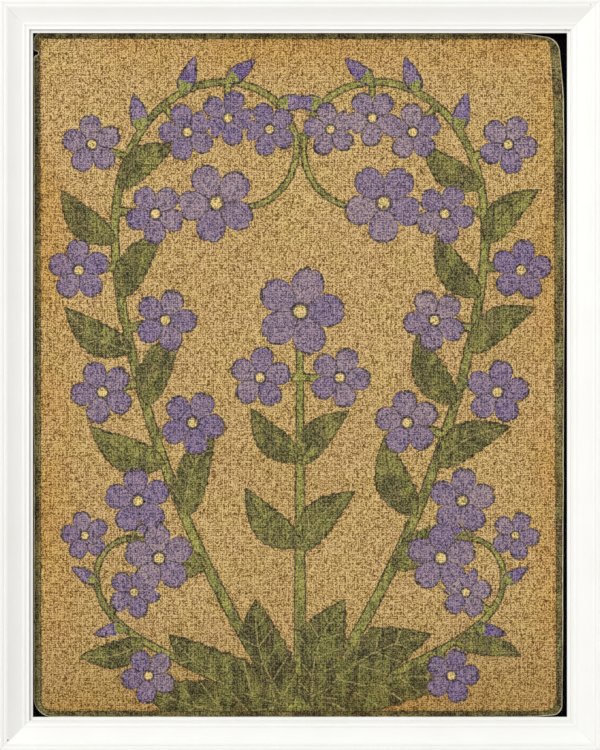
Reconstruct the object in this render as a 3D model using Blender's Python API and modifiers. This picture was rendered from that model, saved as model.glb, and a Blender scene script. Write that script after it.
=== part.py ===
"""A framed cloth print: a white mitred moulding round a panel of coarse printed cloth.

The panel lies on a black board behind a glass pane. Four thin spacers hold the glass off the
cloth, a hardboard back closes the rebate, and steel points driven into the rails hold the stack
in. V-shaped nails pull the mitres together from behind, and the frame hangs from a sawtooth
hanger screwed to the back of the top rail.

Units are metres. The front faces -Y, +X is right and +Z is up. The origin is where a wall nail
carries the frame: the middle notch of the hanger, on the plane of the rails' backs.
"""

import math

import bmesh
import bpy
from mathutils import Matrix, Vector

# Driving dimensions: the whole frame, seen from the front.
FRAME_WIDTH = 0.300
FRAME_HEIGHT = 0.375
RAIL_FACE = 0.0162
RAIL_DEPTH = 0.020
NOTCH_BELOW_TOP = 0.0075

# The rebate behind the lip of the rails.
BACK_WOOD = 0.00925
LIP_BACK = 0.0113
LIP_FRONT = 0.0130

# Neighbouring faces keep this gap.
GAP = 0.0003

# The stack in the rebate, front to back.
SHEET_WIDTH = 0.2794
SHEET_HEIGHT = 0.3556
GLASS_THICK = 0.0020
SPACER_THICK = 0.0016
SPACER_WIDTH = 0.0050
SPACER_HIDDEN = 0.0015
CLOTH_THICK = 0.0009
BOARD_THICK = 0.0020
BACKING_THICK = 0.0025

# The cloth's outline, clockwise from its top left corner: places from the middle of the frame,
# with the radius of each rounding. It was cut by hand, so its sides bend a little, and there is
# a nick in the left edge.
CLOTH_CORNERS = (
    ((-0.1334, 0.1723), 0.0050),
    ((0.1060, 0.1721), 0.1200),
    ((0.1298, 0.1689), 0.0080),
    ((0.1323, 0.1400), 0.1200),
    ((0.1328, 0.0680), 0.9000),
    ((0.1317, -0.1702), 0.0050),
    ((0.1160, -0.1717), 0.0800),
    ((-0.1333, -0.1716), 0.0095),
    ((-0.1333, 0.1603), 0.0003),
    ((-0.1313, 0.1607), 0.0005),
    ((-0.1312, 0.1623), 0.0005),
    ((-0.1334, 0.1629), 0.0003),
)
CORNER_STEPS = 10

# Fixings.
POINT_THICK = 0.0005
POINT_WIDTH = 0.0080
POINT_IN_WOOD = 0.0052
POINT_OVER_BOARD = 0.0080
POINT_PLACES = {"top": (-0.075, 0.075), "bottom": (-0.075, 0.075)}
POINT_PLACES["left"] = POINT_PLACES["right"] = (-0.120, 0.0, 0.120)
NAIL_THICK = 0.0007
NAIL_LEG = 0.0050
NAIL_DEPTH = 0.0070
NAIL_APEX = 0.0095
NAIL_HALF_ANGLE = math.radians(60)
NAIL_SUNK = 0.0002

# The sawtooth hanger.
HANGER_LENGTH = 0.044
HANGER_TOP = 0.0060
HANGER_BOTTOM = -0.0015
HANGER_THICK = 0.0008
HANGER_RAISE = 0.0016
HANGER_FLAT_END = 0.0155
HANGER_RAISED_FROM = 0.0135
TOOTH_PITCH = 0.0030
TOOTH_COUNT = 9
SCREW_PLACE = (0.0188, 0.0022)
SCREW_SHANK_RADIUS = 0.0011
SCREW_HEAD_RADIUS = 0.0023
SCREW_HEAD_HEIGHT = 0.0014
SCREW_LENGTH = 0.0085
BUMPER_RADIUS = 0.0040
BUMPER_HEIGHT = 0.0020
BUMPER_PLACE = 0.125

TURNED_STEPS = 24
MIDDLE = Vector((0.0, 0.0, NOTCH_BELOW_TOP - FRAME_HEIGHT / 2))
FRONT = Vector((0.0, -1.0, 0.0))
BACK = Vector((0.0, 1.0, 0.0))

# Each side of the frame: the direction from its outer edge inwards, and the two extents.
SIDES = {
    "top": (Vector((0, 0, -1)), FRAME_HEIGHT, FRAME_WIDTH),
    "bottom": (Vector((0, 0, 1)), FRAME_HEIGHT, FRAME_WIDTH),
    "left": (Vector((1, 0, 0)), FRAME_WIDTH, FRAME_HEIGHT),
    "right": (Vector((-1, 0, 0)), FRAME_WIDTH, FRAME_HEIGHT),
}

# Heights above the rails' backs at which each layer of the stack starts and ends.
GLASS_FRONT = LIP_BACK - GAP
GLASS_BACK = GLASS_FRONT - GLASS_THICK
SPACER_FRONT = GLASS_BACK - GAP
SPACER_BACK = SPACER_FRONT - SPACER_THICK
BOARD_FRONT = SPACER_BACK - GAP
BOARD_BACK = BOARD_FRONT - BOARD_THICK
BACKING_FRONT = BOARD_BACK - GAP
BACKING_BACK = BACKING_FRONT - BACKING_THICK
POINT_FRONT = BACKING_BACK - GAP


def clear_scene():
    for obj in list(bpy.data.objects):
        bpy.data.objects.remove(obj, do_unlink=True)
    for name in ("framed_cloth_print", "cutters"):
        old = bpy.data.collections.get(name)
        if old:
            bpy.data.collections.remove(old)


clear_scene()
PARTS = bpy.data.collections.new("framed_cloth_print")
CUTTERS = bpy.data.collections.new("cutters")
bpy.context.scene.collection.children.link(PARTS)
bpy.context.scene.collection.children.link(CUTTERS)


def finish(name, colour, roughness, metallic=0.0):
    """A plain material, shared by the pieces cut from the same stock."""
    made = bpy.data.materials.new(name)
    made.use_nodes = True
    shader = made.node_tree.nodes["Principled BSDF"]
    shader.inputs["Base Color"].default_value = (*colour, 1.0)
    shader.inputs["Roughness"].default_value = roughness
    shader.inputs["Metallic"].default_value = metallic
    return made


WHITE_PAINT = finish("white_paint", (0.88, 0.88, 0.86), 0.35)
CLEAR_GLASS = finish("clear_glass", (0.80, 0.86, 0.85), 0.05)
BLACK_BOARD = finish("black_board", (0.010, 0.010, 0.011), 0.85)
HARDBOARD = finish("hardboard", (0.22, 0.12, 0.06), 0.75)
CLOTH = finish("printed_cloth", (0.46, 0.30, 0.12), 0.90)
BLACK_PLASTIC = finish("spacer_plastic", (0.020, 0.020, 0.020), 0.55)
STEEL = finish("zinc_steel", (0.55, 0.55, 0.56), 0.35, 1.0)
BRASS = finish("brass_plate", (0.60, 0.44, 0.19), 0.30, 1.0)
RUBBER = finish("clear_rubber", (0.30, 0.29, 0.27), 0.45)


def own_copy(base, name):
    """Each piece has a material of its own, named for the piece."""
    made = base.copy()
    made.name = name
    return made


def add_object(name, mesh, matrix, stock=None):
    """Puts a mesh in the scene: a piece if it has a stock material, or else a cutter."""
    obj = bpy.data.objects.new(name, mesh)
    obj.matrix_world = matrix
    if stock is None:
        CUTTERS.objects.link(obj)
        obj.hide_render = True
        obj.display_type = "WIRE"
    else:
        PARTS.objects.link(obj)
        mesh.materials.clear()
        mesh.materials.append(own_copy(stock, name))
    return obj


def flat_piece(name, outline, thickness, matrix, stock=None):
    """A flat outline in the local XY plane, extruded to both sides by half its thickness."""
    curve = bpy.data.curves.new(name + "_outline", "CURVE")
    curve.dimensions = "2D"
    curve.fill_mode = "BOTH"
    curve.extrude = thickness / 2
    spline = curve.splines.new("POLY")
    spline.points.add(len(outline) - 1)
    for point, (x, y) in zip(spline.points, outline):
        point.co = (x, y, 0.0, 1.0)
    spline.use_cyclic_u = True
    holder = bpy.data.objects.new(name + "_outline", curve)
    bpy.context.scene.collection.objects.link(holder)
    bpy.context.view_layer.update()
    graph = bpy.context.evaluated_depsgraph_get()
    mesh = bpy.data.meshes.new_from_object(holder.evaluated_get(graph))
    mesh.name = name
    bpy.data.objects.remove(holder, do_unlink=True)
    bpy.data.curves.remove(curve)
    work = bmesh.new()
    work.from_mesh(mesh)
    bmesh.ops.remove_doubles(work, verts=work.verts, dist=1e-6)
    bmesh.ops.recalc_face_normals(work, faces=work.faces)
    work.to_mesh(mesh)
    work.free()
    return add_object(name, mesh, matrix, stock)


def block(name, size, matrix, stock=None, arris=0.0):
    """A rectangular block centred on its matrix, with its edges eased by the arris."""
    mesh = bpy.data.meshes.new(name)
    work = bmesh.new()
    bmesh.ops.create_cube(work, size=1.0)
    bmesh.ops.scale(work, verts=work.verts, vec=size)
    work.to_mesh(mesh)
    work.free()
    obj = add_object(name, mesh, matrix, stock)
    if arris:
        bevel = obj.modifiers.new("eased edges", "BEVEL")
        bevel.width = arris
        bevel.segments = 1
    return obj


def turned(name, profile, matrix, stock):
    """A profile of (radius, height) points from the top down, turned round local Z."""
    mesh = bpy.data.meshes.new(name)
    work = bmesh.new()
    points = [work.verts.new((radius, 0.0, height)) for radius, height in profile]
    for upper, lower in zip(points, points[1:]):
        work.edges.new((upper, lower))
    work.to_mesh(mesh)
    work.free()
    obj = add_object(name, mesh, matrix, stock)
    turn = obj.modifiers.new("turned", "SCREW")
    turn.steps = turn.render_steps = TURNED_STEPS
    turn.use_merge_vertices = True
    turn.merge_threshold = 1e-6
    return obj


def cut(obj, cutter):
    boolean = obj.modifiers.new("cut " + cutter.name, "BOOLEAN")
    boolean.operation = "DIFFERENCE"
    boolean.object = cutter


def arc(centre, radius, start, end, steps):
    """Points on an arc, from one angle to the other in degrees."""
    angles = [math.radians(start + (end - start) * i / steps) for i in range(steps + 1)]
    return [
        (centre[0] + radius * math.cos(a), centre[1] + radius * math.sin(a))
        for a in angles
    ]


def along_side(side, inward, height, along=0.0):
    """The frame of one side: local X points inwards, Y to the front and Z along the rail."""
    direction, across, _ = SIDES[side]
    outer_edge = MIDDLE - direction * across / 2
    run = direction.cross(FRONT)
    axes = Matrix((direction, FRONT, run)).transposed().to_4x4()
    place = outer_edge + direction * inward + FRONT * height + run * along
    return Matrix.Translation(place) @ axes


def facing_back(side, inward, height, along=0.0):
    """The same frame turned so that local XY lies flat in the frame's plane and Z is the back."""
    return along_side(side, inward, height, along) @ Matrix.Rotation(
        math.radians(90), 4, "X"
    )


def scoop(start, end, sag, steps):
    """A hollow from start to end: a straight slope that sags by this much at its middle."""
    points = []
    for i in range(steps + 1):
        t = i / steps
        u = start[0] + (end[0] - start[0]) * t
        v = start[1] + (end[1] - start[1]) * t - 4 * sag * t * (1 - t)
        points.append((u, v))
    return points


def moulding_profile():
    """The rail's section as (distance in from the outer edge, height above the back).

    Listed from the picture outwards: the lip over the rebate, a small step, a low fillet, a
    shallow cove, a flat band, a wide scoop that rises to a second bead, a shallow quirk and the
    bead on the outer arris.
    """
    ease = 0.00025
    step_foot = 0.01475
    fillet = [(0.01450, 0.01495), (0.01425, 0.01520)]
    cove = [(0.01345, 0.01502), (0.01310, 0.01504)]
    band_edge = (0.01175, 0.01435)
    band_radius = 0.00125
    scoop_low = (0.0110, 0.0156)
    scoop_high = (0.00352, 0.01951)
    scoop_sag = 0.00035
    second_bead = (0.00295, 0.01875)
    second_radius = 0.00095
    quirk = (0.0022, 0.0195)
    outer_radius = 0.0012
    outer_bead = (outer_radius, RAIL_DEPTH - outer_radius)
    outline = [(0.0, 0.0), (BACK_WOOD, 0.0), (BACK_WOOD, LIP_BACK)]
    outline += [(RAIL_FACE, LIP_BACK), (RAIL_FACE, LIP_FRONT - ease)]
    outline += [(RAIL_FACE - ease, LIP_FRONT), (step_foot, LIP_FRONT)]
    outline += fillet + cove
    outline += arc(band_edge, band_radius, 55, 90, 3)
    outline += scoop(scoop_low, scoop_high, scoop_sag, 9)[:-1]
    outline += arc(second_bead, second_radius, 53, 115, 4)
    outline += [quirk]
    outline += arc(outer_bead, outer_radius, 50, 180, 8)
    return outline


def rail(side):
    """One rail: the section run along its side, with both ends sheared to a mitre."""
    _, _, length = SIDES[side]
    matrix = along_side(side, 0.0, 0.0)
    obj = flat_piece(
        "rail_" + side, moulding_profile(), length, matrix, WHITE_PAINT
    )
    set_back = GAP / 2 * math.sqrt(2)
    for vertex in obj.data.vertices:
        end = 1.0 if vertex.co.z > 0 else -1.0
        vertex.co.z = end * (length / 2 - vertex.co.x - set_back)
    obj.data.shade_smooth()
    obj.data.set_sharp_from_angle(angle=math.radians(32))
    return obj


def spacer(side):
    """A strip under the lip that keeps the glass off the cloth."""
    inner_edge = RAIL_FACE - SPACER_HIDDEN
    middle_inward = inner_edge - SPACER_WIDTH / 2
    length = SHEET_WIDTH
    if side in ("left", "right"):
        inset = (FRAME_HEIGHT / 2 - inner_edge) + SPACER_WIDTH
        length = 2 * (inset - SPACER_WIDTH - GAP)
    middle_height = (SPACER_FRONT + SPACER_BACK) / 2
    return block(
        "spacer_" + side,
        (SPACER_WIDTH, SPACER_THICK, length),
        along_side(side, middle_inward, middle_height),
        BLACK_PLASTIC,
    )


def sheet(name, thickness, front, stock, arris):
    """A rectangular sheet of the stack, its front face at the given height."""
    place = MIDDLE + FRONT * (front - thickness / 2)
    return block(
        name,
        (SHEET_WIDTH, thickness, SHEET_HEIGHT),
        Matrix.Translation(place),
        stock,
        arris,
    )


def rounded_outline(corners, steps):
    """A polygon with its own radius at each corner, every rounding an arc."""
    outline = []
    count = len(corners)
    for i, ((x, y), radius) in enumerate(corners):
        here = Vector((x, y))
        before = (Vector(corners[i - 1][0]) - here).normalized()
        after = (Vector(corners[(i + 1) % count][0]) - here).normalized()
        half = before.angle(after) / 2
        centre = here + (before + after).normalized() * radius / math.sin(half)
        foot = here + before * radius / math.tan(half) - centre
        turn = math.copysign(math.pi - 2 * half, before.cross(after))
        for step in range(steps + 1):
            angle = -turn * step / steps
            outline.append(tuple(centre + foot @ Matrix.Rotation(-angle, 2)))
    return outline


def print_cloth():
    """The printed panel, laid on the black board with its corners cut round."""
    height = BOARD_FRONT + GAP + CLOTH_THICK / 2
    upright = Matrix.Rotation(math.radians(90), 4, "X")
    matrix = Matrix.Translation(MIDDLE + FRONT * height) @ upright
    outline = rounded_outline(CLOTH_CORNERS, CORNER_STEPS)
    return flat_piece("print_cloth", outline, CLOTH_THICK, matrix, CLOTH)


def framers_point(side, index, along, wood):
    """A flat steel point: its tapered end in a slot in the rail, its tab behind the backing."""
    half = POINT_WIDTH / 2
    tip = half / 3
    start = BACK_WOOD - POINT_IN_WOOD
    end = BACK_WOOD + POINT_OVER_BOARD
    ease = POINT_WIDTH / 8
    outline = [(0.0, -tip), (POINT_IN_WOOD * 0.8, -half), (end - start - ease, -half)]
    outline += [(end - start, -half + ease), (end - start, half - ease)]
    outline += [(end - start - ease, half), (POINT_IN_WOOD * 0.8, half), (0.0, tip)]
    height = POINT_FRONT - POINT_THICK / 2
    obj = flat_piece(
        f"point_{side}_{index}",
        outline,
        POINT_THICK,
        facing_back(side, start, height, along),
        STEEL,
    )
    slot_from = start - GAP
    slot_to = BACK_WOOD + 0.001
    slot = block(
        f"slot_{side}_{index}",
        (slot_to - slot_from, POINT_THICK + 2 * GAP, POINT_WIDTH + 2 * GAP),
        along_side(side, (slot_from + slot_to) / 2, height, along),
    )
    cut(wood, slot)
    return obj


def v_outline(thickness, leg):
    """A V whose point is on local +X and whose legs run back towards -X."""
    slant = Vector((-math.cos(NAIL_HALF_ANGLE), math.sin(NAIL_HALF_ANGLE)))
    across = Vector((math.sin(NAIL_HALF_ANGLE), math.cos(NAIL_HALF_ANGLE)))
    apex = Vector((thickness / 2 / math.sin(NAIL_HALF_ANGLE), 0.0))
    outer = slant * leg + across * thickness / 2
    inner = slant * leg - across * thickness / 2
    half = [tuple(apex), tuple(outer), tuple(inner), tuple(-apex)]
    return half + [(inner.x, -inner.y), (outer.x, -outer.y)]


def v_nail(first, second, woods):
    """A V-shaped steel nail across one mitre, in a pocket that straddles both rails."""
    inward = (SIDES[first][0] + SIDES[second][0]).normalized()
    corner = MIDDLE - SIDES[first][0] * FRAME_HEIGHT / 2 - SIDES[second][0] * FRAME_WIDTH / 2
    axes = Matrix((inward, FRONT.cross(inward), FRONT)).transposed().to_4x4()

    def at(height):
        return Matrix.Translation(corner + inward * NAIL_APEX + FRONT * height) @ axes

    obj = flat_piece(
        f"v_nail_{first}_{second}",
        v_outline(NAIL_THICK, NAIL_LEG),
        NAIL_DEPTH,
        at(NAIL_SUNK + NAIL_DEPTH / 2),
        STEEL,
    )
    over = 0.001
    deep = NAIL_SUNK + NAIL_DEPTH + GAP + over
    pocket = flat_piece(
        f"pocket_{first}_{second}",
        v_outline(NAIL_THICK + 2 * GAP, NAIL_LEG + GAP),
        deep,
        at(deep / 2 - over),
    )
    for wood in woods:
        cut(wood, pocket)
    return obj


def sawtooth_hanger(wood):
    """A strip whose raised middle has teeth along its lower edge, with a screw at each end."""
    half = HANGER_LENGTH / 2
    low = GAP
    high = GAP + HANGER_RAISE
    under = [(-half, low), (-HANGER_FLAT_END, low), (-HANGER_RAISED_FROM, high)]
    under += [(-x, y) for x, y in reversed(under)]
    over = [(x, y + HANGER_THICK) for x, y in reversed(under)]
    middle_z = (HANGER_TOP + HANGER_BOTTOM) / 2
    hanger = flat_piece(
        "sawtooth_hanger",
        under + over,
        HANGER_TOP - HANGER_BOTTOM,
        Matrix.Translation((0.0, 0.0, middle_z)),
        BRASS,
    )
    reach = (TOOTH_COUNT - 1) // 2
    below = HANGER_BOTTOM - 0.0004
    teeth = []
    for k in range(-reach, reach + 1):
        x = k * TOOTH_PITCH
        teeth += [(x - TOOTH_PITCH / 2, below), (x, 0.0)]
    right_end = (reach + 0.5) * TOOTH_PITCH
    teeth += [(right_end, below), (right_end, 2 * below), (-right_end, 2 * below)]
    upright = Matrix.Rotation(math.radians(90), 4, "X")
    row = flat_piece("teeth", teeth, 0.012, upright)
    cut(hanger, row)
    for name, sign in (("left", -1), ("right", 1)):
        place = Vector((sign * SCREW_PLACE[0], 0.0, SCREW_PLACE[1]))
        hanger_screw(name, place, hanger, wood)
    return hanger


def hanger_screw(name, place, hanger, wood):
    """A small domed wood screw through the hanger, with a slot in its head."""
    seat = GAP + HANGER_THICK + GAP
    dome = []
    for i in range(7):
        angle = math.radians(90 - 15 * i)
        dome.append(
            (
                SCREW_HEAD_RADIUS * math.cos(angle),
                seat + SCREW_HEAD_HEIGHT * math.sin(angle),
            )
        )
    taper = 3 * SCREW_SHANK_RADIUS
    shank = [(SCREW_SHANK_RADIUS, seat), (SCREW_SHANK_RADIUS, seat - SCREW_LENGTH + taper)]
    tip = [(0.0, seat - SCREW_LENGTH)]
    head_up = Matrix.Rotation(math.radians(-90), 4, "X")
    screw = turned(
        "hanger_screw_" + name, dome + shank + tip, Matrix.Translation(place) @ head_up, STEEL
    )
    slot = block(
        "screw_slot_" + name,
        (0.006, 0.0012, 0.0007),
        Matrix.Translation(place + BACK * (seat + SCREW_HEAD_HEIGHT)),
    )
    cut(screw, slot)
    bore_depth = SCREW_LENGTH + 0.002
    work = bmesh.new()
    bmesh.ops.create_cone(
        work,
        cap_ends=True,
        segments=TURNED_STEPS,
        radius1=SCREW_SHANK_RADIUS + GAP,
        radius2=SCREW_SHANK_RADIUS + GAP,
        depth=bore_depth,
    )
    mesh = bpy.data.meshes.new("bore_" + name)
    work.to_mesh(mesh)
    work.free()
    top = seat + 0.0015
    bore = add_object(
        "bore_" + name,
        mesh,
        Matrix.Translation(place + BACK * (top - bore_depth / 2)) @ head_up,
    )
    cut(hanger, bore)
    cut(wood, bore)


def bumper(name, along):
    """A domed rubber pad on the back of the bottom rail, which keeps the frame off the wall."""
    rim = BUMPER_HEIGHT * 0.45
    dome = []
    for i in range(7):
        angle = math.radians(90 - 15 * i)
        dome.append(
            (
                BUMPER_RADIUS * math.cos(angle),
                rim + (BUMPER_HEIGHT - rim) * math.sin(angle),
            )
        )
    flat_top = BUMPER_RADIUS * 0.45
    dome[0] = (flat_top, BUMPER_HEIGHT)
    profile = [(0.0, BUMPER_HEIGHT)] + [p for p in dome if p[0] >= flat_top]
    profile += [(BUMPER_RADIUS, 0.0), (0.0, 0.0)]
    centre = along_side("bottom", BACK_WOOD / 2, -GAP, along).translation
    head_up = Matrix.Rotation(math.radians(-90), 4, "X")
    return turned("bumper_" + name, profile, Matrix.Translation(centre) @ head_up, RUBBER)


rails = {side: rail(side) for side in SIDES}
for side in SIDES:
    spacer(side)
sheet("glazing", GLASS_THICK, GLASS_FRONT, CLEAR_GLASS, 0.0003)
sheet("mount_board", BOARD_THICK, BOARD_FRONT, BLACK_BOARD, 0.0)
sheet("backing_board", BACKING_THICK, BACKING_FRONT, HARDBOARD, 0.0003)
print_cloth()
for side, places in POINT_PLACES.items():
    for index, along in enumerate(places, start=1):
        framers_point(side, index, along, rails[side])
for first in ("top", "bottom"):
    for second in ("left", "right"):
        v_nail(first, second, (rails[first], rails[second]))
sawtooth_hanger(rails["top"])
bumper("left", -BUMPER_PLACE)
bumper("right", BUMPER_PLACE)
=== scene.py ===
# %% [markdown]
# # A framed cloth print
#
# A white painted moulding, mitred at its corners, holds a panel of coarse cloth with a pattern
# printed on it. The panel lies on a black board, so a thin black line shows round its cut edge. A
# pane of clear glass keeps the dust off, and steel points and a hardboard back hold it all in.
#
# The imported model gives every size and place. This script dresses it: it makes finer pieces for
# the moulding, the cloth and the fixings, and gives the flat sheets their finishes.

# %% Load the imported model
import math
import random
from functools import partialmethod

import bmesh
import bpy
from mathutils import Matrix, Vector


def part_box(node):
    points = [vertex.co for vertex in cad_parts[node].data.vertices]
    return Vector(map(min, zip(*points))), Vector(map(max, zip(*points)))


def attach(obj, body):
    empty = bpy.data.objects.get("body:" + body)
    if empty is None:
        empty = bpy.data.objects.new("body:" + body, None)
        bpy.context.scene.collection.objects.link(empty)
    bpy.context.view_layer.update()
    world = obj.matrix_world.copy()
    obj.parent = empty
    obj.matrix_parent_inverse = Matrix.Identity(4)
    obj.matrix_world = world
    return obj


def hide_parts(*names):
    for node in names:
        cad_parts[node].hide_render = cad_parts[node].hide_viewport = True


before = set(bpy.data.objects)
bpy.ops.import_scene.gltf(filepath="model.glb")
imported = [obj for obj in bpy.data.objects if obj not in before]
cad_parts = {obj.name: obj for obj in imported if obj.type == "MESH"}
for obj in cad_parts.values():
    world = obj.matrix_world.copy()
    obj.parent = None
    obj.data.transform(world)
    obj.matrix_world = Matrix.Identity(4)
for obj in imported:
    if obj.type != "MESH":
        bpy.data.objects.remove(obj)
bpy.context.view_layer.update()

print("pieces in the packed model:", len(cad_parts))

# %% [markdown]
# ## Measures
#
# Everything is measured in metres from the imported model, so that no piece has to be fitted by
# eye. Seen from the front, +X is right and +Z is up, and the front faces -Y. A height is a
# distance in front of the plane of the rails' backs.

# %% Measures of the frame
MM = 0.001
FRONT = Vector((0.0, -1.0, 0.0))
BACK = -FRONT

left_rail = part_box("rail_left")
frame_left = left_rail[0].x
frame_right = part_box("rail_right")[1].x
frame_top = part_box("rail_top")[1].z
frame_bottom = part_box("rail_bottom")[0].z
FRAME_WIDTH = frame_right - frame_left
FRAME_HEIGHT = frame_top - frame_bottom
RAIL_FACE = left_rail[1].x - frame_left
RAIL_DEPTH = -left_rail[0].y
MIDDLE = Vector((0.0, 0.0, (frame_top + frame_bottom) / 2))
SIDES = {
    "top": (Vector((0, 0, -1)), FRAME_HEIGHT, FRAME_WIDTH),
    "bottom": (Vector((0, 0, 1)), FRAME_HEIGHT, FRAME_WIDTH),
    "left": (Vector((1, 0, 0)), FRAME_WIDTH, FRAME_HEIGHT),
    "right": (Vector((-1, 0, 0)), FRAME_WIDTH, FRAME_HEIGHT),
}
print(f"frame {FRAME_WIDTH / MM:.1f} x {FRAME_HEIGHT / MM:.1f} x {RAIL_DEPTH / MM:.1f} mm")

# %% [markdown]
# ## Camera
#
# The picture is seen square on, filling the whole image, as on a copy stand. A long lens from
# two and a half metres keeps the rails' inner sides out of sight. The lens follows from the
# distance: the sensor's height is to the lens as the frame's height is to the distance. The
# image is cropped a quarter of a millimetre inside the outer edge.

# %% Camera
CAMERA_DISTANCE = 2.5
SENSOR_HEIGHT = 24.0
CROP = 0.25 * MM


def new_object(name, data):
    made = bpy.data.objects.new(name, data)
    bpy.context.scene.collection.objects.link(made)
    return made


camera = new_object("camera", bpy.data.cameras.new("camera"))
camera.data.sensor_fit = "VERTICAL"
camera.data.sensor_height = SENSOR_HEIGHT
camera.data.lens = SENSOR_HEIGHT * CAMERA_DISTANCE / (FRAME_HEIGHT - 2 * CROP)
camera.location = MIDDLE + FRONT * (RAIL_DEPTH + CAMERA_DISTANCE)
camera.rotation_euler = (math.radians(90), 0.0, 0.0)
bpy.context.scene.camera = camera
bpy.context.scene.view_settings.view_transform = "Standard"
print(f"lens {camera.data.lens:.0f} mm at {CAMERA_DISTANCE} m")

# %% [markdown]
# ## Light
#
# A pale world gives more than half of the light, from all round. The rest comes from a softbox
# a little above and to the left of the camera, so the hollows of the right and bottom rails are
# brighter than those of the left and top ones, and the small step round the opening throws a
# thin shadow on its left and top sides. It stands low enough that this shadow stays narrow, and
# far enough aside that the glass doesn't mirror it into the lens. A broad, weak one higher up
# fills in from above, and one behind lights the back, the floor and the outer sides.

# %% Light
WORLD_STRENGTH = 0.575
SOFTBOXES = {
    "softbox_left": (-27, 23, 4.0, 0.80, 70.0),
    "softbox_above": (0, 65, 3.0, 1.6, 12.0),
    "softbox_behind": (160, 35, 1.9, 1.0, 16.0),
}


def softbox(name, azimuth, elevation, distance, size, watts):
    """A square light that faces the middle of the frame; azimuth 0 is straight in front."""
    lamp = bpy.data.lights.new(name, "AREA")
    lamp.shape = "SQUARE"
    lamp.size = size
    lamp.energy = watts
    box = new_object(name, lamp)
    across, up = math.radians(azimuth), math.radians(elevation)
    outwards = Vector(
        (math.sin(across) * math.cos(up), -math.cos(across) * math.cos(up), math.sin(up))
    )
    box.location = MIDDLE + outwards * distance
    box.rotation_euler = outwards.to_track_quat("Z", "Y").to_euler()
    box.visible_camera = False


for name, settings in SOFTBOXES.items():
    softbox(name, *settings)
world = bpy.data.worlds.new("pale_room")
world.use_nodes = True
background = world.node_tree.nodes["Background"]
background.inputs["Color"].default_value = (1.0, 1.0, 1.0, 1.0)
background.inputs["Strength"].default_value = WORLD_STRENGTH
bpy.context.scene.world = world

# %% [markdown]
# ## Formulas in nodes
#
# Materials and Geometry Nodes are both built from small nodes joined by wires. Adding them one
# by one takes many lines, so a few helpers keep this script short. `add` makes a node with its
# settings and inputs. A `Wire` is a value on its way through a tree, and `make` gives the wire
# out of a new node. Adding or multiplying two wires makes the Math node that does it, so a
# formula in nodes reads like any other formula.

# %% Nodes and wires
def socket_named(sockets, name):
    if isinstance(name, int):
        return sockets[name]
    return next(s for s in sockets if s.name == name and s.enabled)


def feed(node, name, value):
    """Sets an input to a plain value, or runs a wire into it."""
    socket = socket_named(node.inputs, name)
    if isinstance(value, Wire):
        value.tree.links.new(value.socket, socket)
    else:
        socket.default_value = value


def add(tree, kind, inputs=(), **settings):
    """One node, with its inputs by name or number and its settings by keyword."""
    made = tree.nodes.new(kind)
    for name, value in settings.items():
        setattr(made, name, value)
    for name, value in dict(inputs).items():
        feed(made, name, value)
    return made


def wires_from(node, *names):
    return [Wire(node.id_data, socket_named(node.outputs, name)) for name in names]


def source(tree, kind, output=0, inputs=(), **settings):
    """The wire out of a new node that no wire runs into."""
    return wires_from(add(tree, kind, inputs, **settings), output)[0]


def make(kind, inputs, output=0, **settings):
    """The wire out of a new node, in the tree that its inputs come from."""
    tree = next(value.tree for value in inputs.values() if isinstance(value, Wire))
    return source(tree, kind, output, inputs, **settings)


def calculate(operation, *values):
    return make("ShaderNodeMath", dict(enumerate(values)), operation=operation)


class Wire:
    """A value on its way through a node tree."""

    def __init__(self, tree, socket):
        self.tree = tree
        self.socket = socket

    def through(self, operation, *others):
        return calculate(operation, self, *others)

    def __rsub__(self, other):
        return calculate("SUBTRACT", other, self)

    def rise(self, low, high, bottom=0.0, top=1.0, kind="SMOOTHSTEP"):
        """A soft step from bottom to top, while the number goes from low to high."""
        limits = {"From Min": low, "From Max": high, "To Min": bottom, "To Max": top}
        return make("ShaderNodeMapRange", {"Value": self, **limits}, interpolation_type=kind)

    def ramp(self, low, high, bottom=0.0, top=1.0):
        """The same with a straight slope."""
        return self.rise(low, high, bottom, top, "LINEAR")


print("wires ready")

# %% [markdown]
# Arithmetic on wires follows one rule: every operation makes the Math node of that name. A few
# other common nodes get short names as well, so a finish reads as a formula.

# %% Arithmetic, patterns and colours
OPERATIONS = {
    "ADD": ("__add__", "__radd__"),
    "MULTIPLY": ("__mul__", "__rmul__"),
    "SUBTRACT": ("__sub__",),
    "DIVIDE": ("__truediv__",),
    "GREATER_THAN": ("__gt__",),
    "LESS_THAN": ("__lt__",),
    "ABSOLUTE": ("__abs__",),
    "POWER": ("power",),
    "MINIMUM": ("least",),
    "MAXIMUM": ("most",),
    "ROUND": ("rounded",),
    "SINE": ("sine",),
    "COSINE": ("cosine",),
}
for operation, methods in OPERATIONS.items():
    for method in methods:
        setattr(Wire, method, partialmethod(Wire.through, operation))


def parts(vector):
    return wires_from(add(vector.tree, "ShaderNodeSeparateXYZ", {0: vector}), 0, 1, 2)


def vector(x, y, z=0.0):
    return make("ShaderNodeCombineXYZ", {0: x, 1: y, 2: z})


def noise(place, scale, detail=2.0):
    """A smooth random number from about 0.25 to 0.75, with so many waves to the metre."""
    return make("ShaderNodeTexNoise", {"Vector": place, "Scale": scale, "Detail": detail})


def ripple(x, y, seed, detail=2.0):
    """The same smooth noise over two numbers, one wave to a unit."""
    return noise(vector(x, y, seed), 1.0, detail)


def chance(place):
    """A random number from 0 to 1, the same wherever the place is exactly the same."""
    return make("ShaderNodeTexWhiteNoise", {"Vector": place})


def mix(amount, first, second, blend="MIX"):
    inputs = {0: amount, 6: first, 7: second}
    return make("ShaderNodeMix", inputs, 2, data_type="RGBA", blend_type=blend)


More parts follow.
